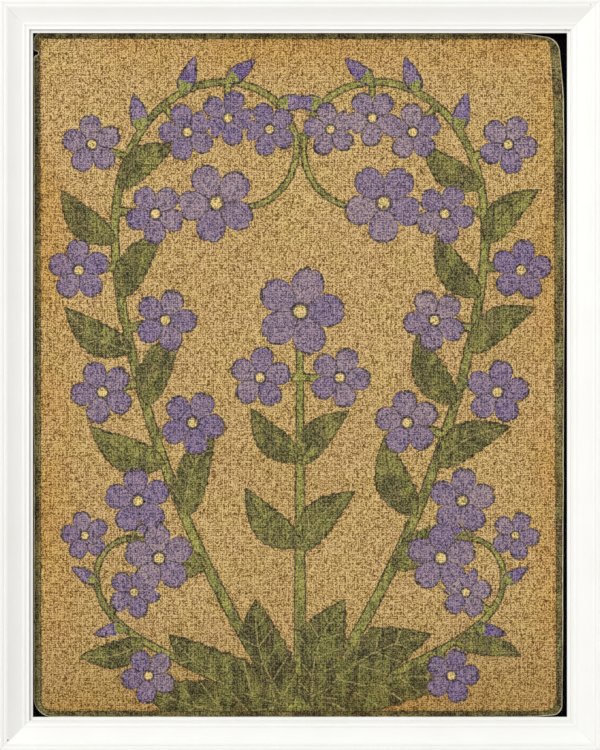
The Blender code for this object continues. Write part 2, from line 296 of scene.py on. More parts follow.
def tone(red, green, blue):
    """A colour as it is read off a picture, 0 to 255, in the linear light that shaders use."""
    return tuple(((c / 255 + 0.055) / 1.055) ** 2.4 for c in (red, green, blue)) + (1.0,)


print("formula helpers ready")

# %% [markdown]
# ## A finish and its relief
#
# Each finish starts from the same shader. What changes over a surface, such as its colour or
# roughness, is wired; what is the same all over is set on the shader itself. Patterns read the
# Object coordinate, which is the place on the frame in metres, because every piece's object
# sits at the origin.

# %% Helpers for finishes
def new_finish(name):
    """A material, its shader and the place on the object."""
    made = bpy.data.materials.new(name)
    made.use_nodes = True
    tree = made.node_tree
    return made, tree.nodes["Principled BSDF"], source(tree, "ShaderNodeTexCoord", "Object")


def coat(shader, colour, roughness, height=None, depth=0.0, fixed=()):
    """Wires the finish; a height from 0 to 1 stands for this depth of fine relief."""
    feed(shader, "Base Color", colour)
    feed(shader, "Roughness", roughness)
    if height:
        bump = make("ShaderNodeBump", {"Height": height, "Distance": depth})
        feed(shader, "Normal", bump)
    for name, value in dict(fixed).items():
        feed(shader, name, value)


def dress(obj, finish):
    obj.data.materials.clear()
    obj.data.materials.append(finish)


print("finish helpers ready")

# %% [markdown]
# ## Floor
#
# The frame stands just clear of a plain pale floor. It isn't part of the object.

# %% Floor
FLOOR_LEVEL = frame_bottom - 2.0 * MM
FLOOR_REACH = 4.0


def pale_floor():
    made, shader, place = new_finish("pale_floor")
    colour = mix(noise(place, 9.0, 4.0), tone(226, 225, 222), tone(236, 235, 233))
    coat(shader, colour, noise(place, 40.0).rise(0.2, 0.8, 0.6, 0.75))
    return made


floor_mesh = bpy.data.meshes.new("floor")
floor_corners = [
    (x * FLOOR_REACH, y * FLOOR_REACH, FLOOR_LEVEL) for x, y in ((-1, -1), (1, -1), (1, 1), (-1, 1))
]
floor_mesh.from_pydata(floor_corners, [], [(0, 1, 2, 3)])
floor = new_object("floor", floor_mesh)
dress(floor, pale_floor())
print("floor at", round(FLOOR_LEVEL, 4))

# %% [markdown]
# ## Running a tree
#
# A Geometry Nodes tree is run on an empty object, and what it makes is kept as a plain mesh.
# A modifier's inputs are set by their identifiers, before the object is first evaluated.

# %% Helpers for Geometry Nodes
def geo(kind, inputs, output=0, **settings):
    return make("GeometryNode" + kind, inputs, output, **settings)


def new_tree(name, sockets):
    """An empty tree and the wires from its named inputs, which are listed by their kind."""
    tree = bpy.data.node_groups.new(name, "GeometryNodeTree")
    tree.interface.new_socket("Geometry", in_out="OUTPUT", socket_type="NodeSocketGeometry")
    names = []
    for kind, of_kind in sockets.items():
        for socket in of_kind:
            tree.interface.new_socket(socket, in_out="INPUT", socket_type="NodeSocket" + kind)
            names.append(socket)
    start = tree.nodes.new("NodeGroupInput")
    return tree, dict(zip(names, wires_from(start, *names)))


def end_tree(geometry, finish):
    """The last three nodes: single out the copies, give the finish, and hand the mesh over."""
    real = geo("RealizeInstances", {"Geometry": geometry})
    done = geo("SetMaterial", {"Geometry": real, "Material": finish})
    feed(add(geometry.tree, "NodeGroupOutput"), 0, done)


def geometry_of(held):
    return geo("ObjectInfo", {"Object": held}, "Geometry")


def moved(geometry, **inputs):
    return geo("SetPosition", {"Geometry": geometry, **inputs})


def store(geometry, name, value, kind="FLOAT_VECTOR", domain="POINT"):
    inputs = {"Geometry": geometry, "Name": name, "Value": value}
    return geo("StoreNamedAttribute", inputs, data_type=kind, domain=domain)


def read(tree, name, kind="FLOAT_VECTOR"):
    node = "GeometryNodeInputNamedAttribute"
    return source(tree, node, "Attribute", {"Name": name}, data_type=kind)


def sample(geometry, name, index, kind="FLOAT_VECTOR"):
    """What one point of a geometry stores under this name."""
    field = read(geometry.tree, name, kind)
    inputs = {"Geometry": geometry, "Value": field, "Index": index}
    return geo("SampleIndex", inputs, data_type=kind)


def on_domain(value, kind, domain):
    return geo("FieldOnDomain", {"Value": value}, data_type=kind, domain=domain)


def nearest_edge(lines):
    """The distance to the nearest line, and the place on it."""
    near = add(lines.tree, "GeometryNodeProximity", {"Geometry": lines}, target_element="EDGES")
    return wires_from(near, "Distance", "Position")


def stretch(direction, amount):
    inputs = {"Vector": direction, "Scale": amount}
    return make("ShaderNodeVectorMath", inputs, operation="SCALE")


def total(*vectors):
    result = vectors[0]
    for extra in vectors[1:]:
        result = make("ShaderNodeVectorMath", {0: result, 1: extra})
    return result


print("node helpers ready")

# %% Helpers that run a tree and clean its mesh
def evaluated_mesh(obj, name):
    bpy.context.view_layer.update()
    graph = bpy.context.evaluated_depsgraph_get()
    mesh = bpy.data.meshes.new_from_object(obj.evaluated_get(graph))
    mesh.name = name
    return mesh


def run(tree, name, values):
    """What the tree makes with these inputs, as an object with a plain mesh."""
    made = new_object(name, bpy.data.meshes.new(name))
    maker = made.modifiers.new(tree.name, "NODES")
    maker.node_group = tree
    for item in tree.interface.items_tree:
        if item.in_out == "INPUT":
            maker[item.identifier] = values[item.name]
    mesh = evaluated_mesh(made, name)
    made.modifiers.clear()
    made.data = mesh
    return made


def tidy(obj, sharp_angle):
    """Joins doubled points, turns every face outwards and shades all but the sharp edges smooth."""
    work = bmesh.new()
    work.from_mesh(obj.data)
    bmesh.ops.remove_doubles(work, verts=work.verts, dist=1e-6)
    bmesh.ops.recalc_face_normals(work, faces=work.faces)
    work.to_mesh(obj.data)
    work.free()
    obj.data.shade_smooth()
    obj.data.set_sharp_from_angle(angle=math.radians(sharp_angle))
    return obj


print("mesh helpers ready")

# %% [markdown]
# Some objects only feed a tree or make a cut. They are spare: hidden from the render, kept in a
# list and taken away at the end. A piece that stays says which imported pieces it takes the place
# of.

# %% Spare objects, and pieces that stand for packed ones
helpers = []


def spare(obj):
    obj.hide_render = True
    helpers.append(obj)
    return obj


def outline_curve(name, points):
    curve = bpy.data.curves.new(name, "CURVE")
    curve.dimensions = "2D"
    curve.fill_mode = "NONE"
    spline = curve.splines.new("POLY")
    spline.points.add(len(points) - 1)
    for point, (x, y) in zip(spline.points, points):
        point.co = (x, y, 0.0, 1.0)
    spline.use_cyclic_u = True
    return spare(new_object(name, curve))


def point_mesh(name, points, edges=(), vectors={}, numbers={}):
    """Loose points or lines for a tree to read, with what each point stores."""
    mesh = bpy.data.meshes.new(name)
    mesh.from_pydata(points, edges, [])
    for kind, field, stored in (("FLOAT_VECTOR", "vector", vectors), ("FLOAT", "value", numbers)):
        for attribute, values in stored.items():
            made = mesh.attributes.new(attribute, kind, "POINT")
            for entry, value in zip(made.data, values):
                setattr(entry, field, value)
    return spare(new_object(name, mesh))


def triangles(obj):
    return sum(len(p.vertices) - 2 for p in obj.data.polygons)


def stands_for(obj, slot, *nodes):
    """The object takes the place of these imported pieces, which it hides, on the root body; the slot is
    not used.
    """
    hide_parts(*nodes)
    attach(obj, "root")
    print(obj.name, "triangles:", triangles(obj))


print("object helpers ready")

# %% [markdown]
# ## White paint over pine
#
# One finish covers a whole rail. The picture framer's moulding is pine, primed and sprayed satin
# white on its face and outer side; the back and the rebate stay bare. The shader works out
# where a point lies on the rail's section from its place on the frame: how far in from the outer
# edge, how high above the back, and how far along. The paint laps over the back's edge in an
# uneven line. Fine streaks run along the rail, as sanding and spraying leave them. Painted shade
# darkens the quirk and the foot of the step, and three small dark spots of painted shade sit at
# the mitres near the corners.

# %% White paint over pine
PAINT_LAP = 0.9 * MM
BACK_DEPTH = 0.1 * MM
REBATE_EDGE = 9.2 * MM
REBATE_TOP = 11.35 * MM
QUIRK = 2.2 * MM
STEP_FOOT = 14.75 * MM
# width of the painted shade in the quirk and at the foot of the step
RECESS_SHADE_WIDTH = 0.3 * MM
# places and radii of small dark spots of painted shade where the quirk and the step meet the mitres
MITRE_SHADE_SPOTS = ((145.2, 184.8, 0.35), (133.1, 172.8, 0.30), (-145.9, -182.4, 0.40))
SHADE_SPOTS_ABOVE = 10 * MM


def distance_in(x, z):
    """How far in a point lies from the frame's nearer sides, across and up."""
    return FRAME_WIDTH / 2 - abs(x), FRAME_HEIGHT / 2 - abs(z - MIDDLE.z)


def paint_over_pine():
    made, shader, place = new_finish("white_paint_over_pine")
    x, y, z = parts(place)
    from_side, from_end = distance_in(x, z)
    upright = from_side < from_end
    inward = from_side.least(from_end)
    height = y * -1.0
    run_along = x + (z - x) * upright
    rail_number = upright * 2.0 + (x + z - MIDDLE.z > 0.0)
    section = vector(inward, height + rail_number, run_along * 0.03)
    grain_place = vector(inward, height + rail_number, run_along * 0.05)

    ragged = noise(place, 900.0, 3.0)
    back_face = (height < BACK_DEPTH) * (inward > ragged * PAINT_LAP * 2.0)
    rebate = (inward > REBATE_EDGE) * (height < REBATE_TOP) * (inward < RAIL_FACE - BACK_DEPTH)
    bare = back_face.most(rebate)

    streaks = noise(section, 2600.0)
    mottle = noise(place, 45.0, 3.0)
    peel = noise(place, 1500.0, 1.0)
    white = mix(mottle, tone(242, 242, 240), tone(238, 238, 234))
    white = mix(streaks.rise(0.35, 0.75, 0.0, 0.18), white, tone(228, 227, 222))
    # painted shade: the quirk and the foot of the step are darkened where shade falls
    for corner in (QUIRK, STEP_FOOT):
        recess_shade = abs(inward - corner).rise(0.0, RECESS_SHADE_WIDTH, 0.10, 0.0)
        white = mix(recess_shade * (mottle + 0.4), white, tone(186, 184, 178))
    # painted shade: dark spots at the mitres, on the front faces only
    for across, up, radius in MITRE_SHADE_SPOTS:
        apart = vector(x - across * MM, z - MIDDLE.z - up * MM)
        apart = make("ShaderNodeVectorMath", {0: apart}, "Value", operation="LENGTH")
        apart = apart + (ragged - 0.5) * 0.5 * MM
        shade_spot = apart.rise(radius * 0.5 * MM, radius * MM, 1.0, 0.0)
        white = mix(shade_spot * (height > SHADE_SPOTS_ABOVE), white, tone(92, 84, 74))

    rings = noise(grain_place, 420.0, 3.0)
    fibres = noise(section, 3800.0)
    pine = mix(rings.rise(0.35, 0.65), tone(214, 178, 128), tone(190, 146, 92))
    pine = mix(fibres.rise(0.45, 0.8, 0.0, 0.5), pine, tone(150, 108, 66))
    satin = peel.rise(0.3, 0.7, 0.30, 0.42)
    surface = peel * 0.3 + streaks * 0.5 + fibres * bare * 2.0
    coat(shader, mix(bare, white, pine), satin + bare * 0.35, surface, 0.04 * MM)
    return made


PAINT = paint_over_pine()
print("paint nodes:", len(PAINT.node_tree.nodes))

# %% [markdown]
# ## The moulding
#
# The rail's section is one closed outline: a low crown on the outer arris, a shallow quirk, a
# second low bead, a wide scoop that falls towards the picture, a flat band, a shallow cove, a
# low fillet and a small step down to the lip. It could be cut from a block or lofted by hand.
# Sweeping it is what the moulder's cutters do, so a tree sweeps it along a line, and then shears
# both ends by how far in each point lies, which is exactly a mitre. A hairline stays open there.

# %% The moulding's section, in millimetres
LIP_BACK = 11.3
LIP_FRONT = 13.0
REBATE = 9.25
EASE = 0.25
LIP_EASE = 0.12
OUTER_EASE = 0.35
CROWN = 3.3


def arc(centre, radius, start, end, steps):
    """Points on an arc, from one angle to the other in degrees."""
    angles = [math.radians(start + (end - start) * i / steps) for i in range(steps + 1)]
    return [(centre[0] + radius * math.cos(a), centre[1] + radius * math.sin(a)) for a in angles]


def scoop(start, end, sag, steps):
    """A hollow from start to end that sags by this much at its middle, without its end points."""
    points = []
    for i in range(1, steps):
        t = i / steps
        x, y = (a + (b - a) * t for a, b in zip(start, end))
        points.append((x, y - 4 * sag * t * (1 - t)))
    return points


def moulding_section():
    """Points as (distance in from the outer edge, height), from the back round to the front."""
    face, depth, step_foot, quirk = (size / MM for size in (RAIL_FACE, RAIL_DEPTH, STEP_FOOT, QUIRK))
    scoop_low = (11.0, 15.5)
    outline = [(0.0, 0.0), (REBATE, 0.0), (REBATE, LIP_BACK), (face, LIP_BACK)]
    outline += arc((face - LIP_EASE, LIP_FRONT - LIP_EASE), LIP_EASE, 0, 90, 4)
    outline += [(step_foot, LIP_FRONT)]
    outline += arc((14.25, 14.95), EASE, 0, 100, 4)
    outline += [(13.6, 15.04), (13.35, 15.0), (13.1, 15.04)]
    outline += arc((11.75, 14.35), 1.25, 55, 90, 8) + [scoop_low]
    outline += scoop(scoop_low, (4.3, 18.974), 0.25, 24)
    outline += arc((2.5, 16.45), 3.1, 54.5, 93.3, 12)
    outline += [(2.26, 19.49), (quirk, 19.44)]
    outline += arc((OUTER_EASE, depth - CROWN), CROWN, 58, 90, 10)
    outline += arc((OUTER_EASE, depth - OUTER_EASE), OUTER_EASE, 95, 180, 10)
    return [(x * MM, y * MM) for x, y in outline]


section_curve = outline_curve("moulding_section", moulding_section())
print("points in the section:", len(section_curve.data.splines[0].points))

# %% The tree that sweeps and mitres a rail
MITRE_GAP = 0.025 * MM
RAIL_STEPS = 48


def moulding_tree():
    tree, given = new_tree(
        "mitred_moulding",
        {
            "Object": ("Section",),
            "Vector": ("Outer Edge", "Inward", "Front", "Run"),
            "Float": ("Length", "Mitre Gap"),
            "Int": ("Steps",),
            "Material": ("Finish",),
        },
    )
    here = source(tree, "GeometryNodeInputPosition")
    section = store(geometry_of(given["Section"]), "section", here)
    line = source(tree, "GeometryNodeCurvePrimitiveLine", inputs={"End": (0.0, 0.0, 1.0)})
    line = geo("ResampleCurve", {"Curve": line, "Count": given["Steps"]})
    line = store(line, "along", source(tree, "GeometryNodeSplineParameter", "Factor"), "FLOAT")
    swept = geo("CurveToMesh", {"Curve": line, "Profile Curve": section, "Fill Caps": True})
    inward, height, _ = parts(read(tree, "section"))
    half_length = given["Length"] * 0.5 - inward - given["Mitre Gap"]
    place = total(
        given["Outer Edge"],
        stretch(given["Inward"], inward),
        stretch(given["Front"], height),
        stretch(given["Run"], (read(tree, "along", "FLOAT") * 2.0 - 1.0) * half_length),
    )
    end_tree(moved(swept, Position=place), given["Finish"])
    return tree


mould = moulding_tree()
rails = {}
for side, (inward, across, length) in SIDES.items():
    inputs = {
        "Section": section_curve,
        "Outer Edge": MIDDLE - inward * across / 2,
        "Inward": inward,
        "Front": FRONT,
        "Run": inward.cross(FRONT),
        "Length": length,
        "Mitre Gap": MITRE_GAP,
        "Steps": RAIL_STEPS,
        "Finish": PAINT,
    }
    rails[side] = run(mould, "white_moulding_" + side, inputs)
    print(rails[side].name, "faces:", len(rails[side].data.polygons))

# %% [markdown]
# ## Fixings behind the picture
#
# Ten flat points, four V-shaped nails, two screws and two pads repeat, so each shape is modelled
# once and a tree sets its copies out: one point for each place, which carries the turn of its
# copy. The same tree sets out the cutters that make the slots for them in the wood.

# %% The tree that sets out copies
def set_out_tree():
    tree, given = new_tree("set_out", {"Object": ("Shape", "Places"), "Material": ("Finish",)})
    turn = make("FunctionNodeEulerToRotation", {0: read(tree, "turn")})
    shape, places = geometry_of(given["Shape"]), geometry_of(given["Places"])
    copies = geo("InstanceOnPoints", {"Points": places, "Instance": shape, "Rotation": turn})
    end_tree(copies, given["Finish"])
    return tree


def places_for(name, matrices):
    """A point for each matrix, which stores its turn."""
    turns = [tuple(matrix.to_euler()) for matrix in matrices]
    return point_mesh(name, [matrix.translation for matrix in matrices], vectors={"turn": turns})


def facing(place, local_x, local_z=BACK):
    """A matrix at a place, with local X and Z along these directions."""
    axes = Matrix((local_x, local_z.cross(local_x), local_z)).transposed().to_4x4()
    return Matrix.Translation(place) @ axes


def copies(name, shape, places, finish):
    return run(set_out, name, {"Shape": shape, "Places": places, "Finish": finish})


set_out = set_out_tree()
print("tree:", set_out.name)

# %% Shapes that are cut from sheet, turned or drilled
def mesh_object(name, work):
    """The shape in hand as a spare object, with its faces turned outwards."""
    bmesh.ops.recalc_face_normals(work, faces=work.faces)
    mesh = bpy.data.meshes.new(name)
    work.to_mesh(mesh)
    work.free()
    return spare(new_object(name, mesh))


def plate(name, outline, low, high, arris=0.0):
    """A flat outline in local XY, from one local height to the other, with eased edges."""
    work = bmesh.new()
    face = work.faces.new([work.verts.new((x, y, low)) for x, y in outline])
    raised = bmesh.ops.extrude_face_region(work, geom=[face])["geom"]
    lifted = [v for v in raised if isinstance(v, bmesh.types.BMVert)]
    bmesh.ops.translate(work, verts=lifted, vec=(0, 0, high - low))
    bmesh.ops.recalc_face_normals(work, faces=work.faces)
    if arris:
        edges = list(work.edges)
        bmesh.ops.bevel(work, geom=edges, offset=arris, segments=2, profile=0.5, affect="EDGES")
    return mesh_object(name, work)


def turned(name, profile, steps):
    """A profile of (radius, height), from the top down, turned round local Z and closed."""
    work = bmesh.new()
    points = [work.verts.new((radius, 0.0, height)) for radius, height in profile]
    edges = [work.edges.new(pair) for pair in zip(points, points[1:])]
    around = {"cent": (0, 0, 0), "axis": (0, 0, 1), "angle": math.tau}
    bmesh.ops.spin(work, geom=points + edges, steps=steps, use_merge=True, **around)
    bmesh.ops.remove_doubles(work, verts=work.verts, dist=1e-7)
    return mesh_object(name, work)


def cut_away(obj, cutter):
    """Takes the cutter's shape out of an object's mesh."""
    boolean = obj.modifiers.new("cut", "BOOLEAN")
    boolean.operation = "DIFFERENCE"
    boolean.solver = "EXACT"
    boolean.object = cutter
    mesh = evaluated_mesh(obj, obj.data.name)
    obj.modifiers.remove(boolean)
    obj.data = mesh


print("shape helpers ready")

# %% [markdown]
# The points are zinc-plated steel, punched from strip: a tapered end goes into the wood and a
# tab stays out over the backing board. The V-nails are driven in from behind until they lie
# just under the wood's surface, so only a thin bright V shows in its slot.

# %% Places of the points and the V-nails
POINT_THICK = 0.5 * MM
POINT_WIDTH = 8.0 * MM
POINT_IN_WOOD = 5.2 * MM
POINT_OVER_BOARD = 8.0 * MM
POINT_ARRIS = 0.07 * MM
NAIL_THICK = 0.7 * MM
NAIL_LEG = 5.0 * MM
NAIL_DEPTH = 7.0 * MM
NAIL_APEX = 9.5 * MM
NAIL_SUNK = 0.2 * MM
NAIL_ARRIS = 0.06 * MM
NAIL_HALF_ANGLE = math.radians(60)
SLOT_GAP = 0.08 * MM
SLOT_OVER = 1.0 * MM


def middle_of(node):
    low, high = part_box(node)
    return (low + high) / 2


def point_outline(extra):
    """The framer's point from its tip in the wood to its tab, this much larger all round."""
    half = POINT_WIDTH / 2 + extra
    end = POINT_IN_WOOD + POINT_OVER_BOARD
    ease = POINT_WIDTH / 8
    tip = POINT_WIDTH / 6 + extra
    upper = [(end, half - ease), (end - ease, half), (POINT_IN_WOOD * 0.8, half), (-extra, tip)]
    return [(x, -y) for x, y in reversed(upper)] + upper


def v_outline(thickness, leg):
    slant = Vector((-math.cos(NAIL_HALF_ANGLE), math.sin(NAIL_HALF_ANGLE)))
    across = Vector((math.sin(NAIL_HALF_ANGLE), math.cos(NAIL_HALF_ANGLE)))
    apex = thickness / 2 / math.sin(NAIL_HALF_ANGLE)
    outer = slant * leg + across * thickness / 2
    inner = slant * leg - across * thickness / 2
    half = [(apex, 0.0), tuple(outer), tuple(inner), (-apex, 0.0)]
    return half + [(inner.x, -inner.y), (outer.x, -outer.y)]


point_nodes = sorted(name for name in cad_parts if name.startswith("point_"))
point_places = []
for name in point_nodes:
    inward = SIDES[name.split("_")[1]][0]
    tip = middle_of(name) - inward * (POINT_IN_WOOD + POINT_OVER_BOARD) / 2
    point_places.append(facing(tip, inward))

nail_nodes = sorted(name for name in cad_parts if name.startswith("v_nail_"))
nail_places = []
for name in nail_nodes:
    first, second = (SIDES[side][0] for side in name.split("_")[2:])
    inward = (first + second).normalized()
    corner = MIDDLE - first * FRAME_HEIGHT / 2 - second * FRAME_WIDTH / 2
    nail_places.append(facing(corner + inward * NAIL_APEX + FRONT * NAIL_SUNK, inward))
points_map = places_for("point_places", point_places)
nails_map = places_for("nail_places", nail_places)
print(len(point_places), "points and", len(nail_places), "V-nails")

# %% [markdown]
# Zinc plate is a pale blue-grey with fine scratches from the drum it was plated in. The brass
# plate of the hanger is warmer and has dulled unevenly. Both are metals, so their colour is the
# colour of what they mirror, and roughness does most of the work.

# %% Zinc and brass finishes
def plated(name, bright, dull, coarse):
    made, shader, place = new_finish(name)
    cloud = noise(place, coarse, 4.0)
    spangle = make("ShaderNodeTexVoronoi", {"Vector": place, "Scale": coarse * 3.0}, "Distance")
    x, y, z = parts(place)
    scratch = noise(vector(x * 12.0, y, z * 0.6), 900.0, 3.0)
    colour = mix(cloud.rise(0.35, 0.7), bright, dull)
    colour = mix(spangle.rise(0.0, 0.8, 0.0, 0.25), colour, dull)
    rough = scratch.rise(0.3, 0.7, 0.24, 0.42) + cloud.rise(0.4, 0.8, 0.0, 0.12)
    coat(shader, colour, rough, scratch, 0.02 * MM, {"Metallic": 1.0})
    return made


ZINC = plated("zinc_plated_steel", tone(196, 198, 202), tone(158, 160, 166), 350.0)
BRASS = plated("brass_plated_steel", tone(222, 184, 104), tone(170, 128, 62), 260.0)
print("finishes:", ZINC.name, BRASS.name)

# %% Points and V-nails, and their slots in the wood
half_thick = POINT_THICK / 2
half_slot = half_thick + SLOT_GAP
slot_v = v_outline(NAIL_THICK + 2 * SLOT_GAP, NAIL_LEG + SLOT_GAP)
point_shape = plate("point_shape", point_outline(0.0), -half_thick, half_thick, POINT_ARRIS)
point_slot = plate("point_slot", point_outline(SLOT_GAP), -half_slot, half_slot)
nail_shape = plate("nail_shape", v_outline(NAIL_THICK, NAIL_LEG), -NAIL_DEPTH, 0.0, NAIL_ARRIS)
nail_slot = plate("nail_slot", slot_v, -NAIL_DEPTH - SLOT_GAP, SLOT_OVER)

framers_points = tidy(copies("framers_points", point_shape, points_map, ZINC), 40)
corner_nails = tidy(copies("corner_nails", nail_shape, nails_map, ZINC), 40)
point_slots = spare(copies("point_slots", point_slot, points_map, PAINT))
nail_slots = spare(copies("nail_slots", nail_slot, nails_map, PAINT))
stands_for(framers_points, "zinc_steel", *point_nodes)
stands_for(corner_nails, "zinc_steel", *nail_nodes)

# %% [markdown]
# The sawtooth hanger is a strip of brass-plated steel. Its raised middle has teeth along the
# lower edge, and its flat ends are screwed down. The strip is laid out as columns from end to
# end: each column knows its lower edge, its upper edge and how far it stands off the wood.
# Solidify then gives it its thickness and a bevel eases the sheared edges.

# %% Sawtooth hanger
hanger_low, hanger_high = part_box("sawtooth_hanger")
HANGER_THICK = 0.8 * MM
HANGER_RAISE = hanger_high.y - hanger_low.y - HANGER_THICK
RAISED_TO = 13.5 * MM
FLAT_FROM = 15.5 * MM
TOOTH_PITCH = 3.0 * MM
TOOTH_COUNT = 9
TOOTH_FLAT = 0.316 * MM
CORNER = 1.5 * MM
BEND_STEPS = 8
ROWS = 5


def hanger_columns():
    """The strip's columns as (x, lower edge, upper edge)."""
    half = hanger_high.x
    teeth_aside = (TOOTH_COUNT - 1) // 2
    slope = TOOTH_PITCH / 2 - TOOTH_FLAT
    places = set()
    for k in range(-teeth_aside, teeth_aside + 1):
        places |= {k * TOOTH_PITCH + offset for offset in (-slope, 0.0, slope)}
    for i in range(BEND_STEPS + 1):
        ramp = RAISED_TO + (FLAT_FROM - RAISED_TO) * i / BEND_STEPS
        end = half - CORNER + CORNER * math.sin(math.radians(90 * i / BEND_STEPS))
        places |= {ramp, -ramp, end, -end}
    columns = []
    for x in sorted(places):
        lower = hanger_low.z
        if abs(x) < RAISED_TO - TOOTH_FLAT:
            off_apex = abs((x / TOOTH_PITCH + 0.5) % 1 - 0.5) * TOOTH_PITCH
            lower *= min(1.0, off_apex / slope)
        past = max(0.0, abs(x) - (half - CORNER))
        rounding = CORNER - math.sqrt(max(0.0, CORNER**2 - past**2))
        columns.append((x, lower + rounding, hanger_high.z - rounding))
    return columns


def stand_off(x):
    t = min(1.0, max(0.0, (FLAT_FROM - abs(x)) / (FLAT_FROM - RAISED_TO)))
    return hanger_low.y + HANGER_RAISE * t * t * (3 - 2 * t)


work = bmesh.new()
grid = []
for x, lower, upper in hanger_columns():
    heights = [lower + (upper - lower) * r / (ROWS - 1) for r in range(ROWS)]
    grid.append([work.verts.new((x, stand_off(x), z)) for z in heights])
for first, second in zip(grid, grid[1:]):
    for r in range(ROWS - 1):
        work.faces.new((first[r], second[r], second[r + 1], first[r + 1]))
bmesh.ops.remove_doubles(work, verts=work.verts, dist=1e-6)
hanger_mesh = bpy.data.meshes.new("hanger_plate")
work.to_mesh(hanger_mesh)
work.free()
hanger_plate = new_object("hanger_plate", hanger_mesh)
thicken = hanger_plate.modifiers.new("thickness", "SOLIDIFY")
thicken.thickness = HANGER_THICK
thicken.offset = -1.0
thicken.use_even_offset = False
eased = hanger_plate.modifiers.new("eased", "BEVEL")
eased.width = 0.1 * MM
eased.segments = 2
eased.angle_limit = math.radians(50)
hanger_plate.data = evaluated_mesh(hanger_plate, "hanger_plate")
hanger_plate.modifiers.clear()
dress(hanger_plate, BRASS)
tidy(hanger_plate, 35)
print("columns in the strip:", len(grid))

# %% [markdown]
# Each screw has a low domed head with a slot. It is a profile turned round its axis, with the
# slot cut after. The rubber pads on the bottom rail are turned too.

# %% Screws and their bores
SCREW_HEAD_RADIUS = 2.3 * MM
SCREW_HEAD_HEIGHT = 1.4 * MM
SCREW_SHANK_RADIUS = 1.1 * MM
SCREW_LENGTH = 8.5 * MM
SCREW_SLOT = (6.0 * MM, 0.7 * MM, 1.2 * MM)
SCREW_TURNS = {"left": 22, "right": 118}
BORE_RADIUS = SCREW_SHANK_RADIUS + 0.1 * MM
BORE_TOP = 1.0 * MM
BORE_END = -10.0 * MM
DOME_STEPS = 14
TURNED_STEPS = 64


def dome(radius, height, base):
    """A quarter of an ellipse from the top of a dome down to its rim."""
    angles = [math.radians(90 - 90 * i / DOME_STEPS) for i in range(1, DOME_STEPS + 1)]
    rest = [(radius * math.cos(a), base + height * math.sin(a)) for a in angles]
    return [(0.0, base + height)] + rest


shank_end = -SCREW_LENGTH + 3 * SCREW_SHANK_RADIUS
screw_profile = dome(SCREW_HEAD_RADIUS, SCREW_HEAD_HEIGHT, 0.0)
screw_profile += [(SCREW_SHANK_RADIUS, 0.0), (SCREW_SHANK_RADIUS, shank_end), (0.0, -SCREW_LENGTH)]
screw_shape = turned("screw_shape", screw_profile, TURNED_STEPS)
width, across, depth = SCREW_SLOT
slot_outline = [
    (x * width / 2, y * across / 2) for x, y in ((-1, -1), (1, -1), (1, 1), (-1, 1))
]
slot_low, slot_high = SCREW_HEAD_HEIGHT - depth / 2, SCREW_HEAD_HEIGHT + depth
cut_away(screw_shape, plate("screw_slot", slot_outline, slot_low, slot_high))
tidy(screw_shape, 40)

screw_places = []
for name, turn in SCREW_TURNS.items():
    low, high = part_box("hanger_screw_" + name)
    place = Vector(((low.x + high.x) / 2, high.y - SCREW_HEAD_HEIGHT, (low.z + high.z) / 2))
    local_x = Matrix.Rotation(math.radians(turn), 3, "Y") @ Vector((1, 0, 0))
    screw_places.append(facing(place, local_x))
screws_map = places_for("screw_places", screw_places)
hanger_screws = tidy(copies("hanger_screws", screw_shape, screws_map, ZINC), 40)

bore_profile = [(0.0, BORE_TOP), (BORE_RADIUS, BORE_TOP), (BORE_RADIUS, BORE_END), (0.0, BORE_END)]
bore_shape = turned("bore_shape", bore_profile, 24)
bores = spare(copies("bores", bore_shape, screws_map, PAINT))
cut_away(hanger_plate, bores)
tidy(hanger_plate, 35)
stands_for(hanger_plate, "brass_plate", "sawtooth_hanger")
stands_for(hanger_screws, "zinc_steel", "hanger_screw_left", "hanger_screw_right")

# %% [markdown]
# The pads are clear silicone domes. Light goes a little way into them, so the finish lets some
# light through and keeps a soft, slightly dusty gloss.

# %% Rubber pads
PAD_RIM = 0.9 * MM
PAD_EASE = 0.1 * MM


def clear_rubber():
    made, shader, place = new_finish("clear_rubber_pad")
    haze = noise(place, 700.0, 3.0)
    colour = mix(haze.rise(0.3, 0.7), tone(206, 204, 196), tone(180, 177, 166))
    fixed = {"Transmission Weight": 0.35, "IOR": 1.41}
    coat(shader, colour, haze.rise(0.3, 0.7, 0.25, 0.45), haze, 0.02 * MM, fixed)
    return made


pad_low, pad_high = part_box("bumper_left")
pad_radius = (pad_high.x - pad_low.x) / 2
pad_profile = dome(pad_radius, pad_high.y - pad_low.y - PAD_RIM, PAD_RIM)
pad_profile += [(pad_radius, PAD_EASE), (pad_radius - PAD_EASE, 0.0), (0.0, 0.0)]
pad_shape = turned("pad_shape", pad_profile, TURNED_STEPS)
pad_places = []
for name in ("bumper_left", "bumper_right"):
    centre = middle_of(name)
    centre.y = pad_low.y
    pad_places.append(facing(centre, Vector((1, 0, 0))))
pads_map = places_for("pad_places", pad_places)
wall_pads = tidy(copies("wall_pads", pad_shape, pads_map, clear_rubber()), 50)
stands_for(wall_pads, "clear_rubber", "bumper_left", "bumper_right")

# %% Slots and bores in the rails
for side, rail in rails.items():
    cut_away(rail, point_slots)
    cut_away(rail, nail_slots)
    if side == "top":
        cut_away(rail, bores)
    tidy(rail, 32)
    stands_for(rail, "white_paint", "rail_" + side)

# %% [markdown]
# ## The printed pattern
#
# The pattern is a common garland: two stems rise from a tuft of broad leaves, bow outwards
# and curl back in at the top, with round five-petalled flowers, buds and toothed leaves along
# them. It is worked out by rule. A spray is a line whose heading turns evenly and then tighter
# and tighter. Leaves, buds and flowers are stamps: each is a place, a turn and a size.

# %% Rules for the garland
SPRAY_STEPS = 120
LEAF_ANGLE = 0.75
LEAF = 0.0
BUD = 1.0
random_draw = random.Random(7)
stems = []
leaf_stamps = []
flower_stamps = []


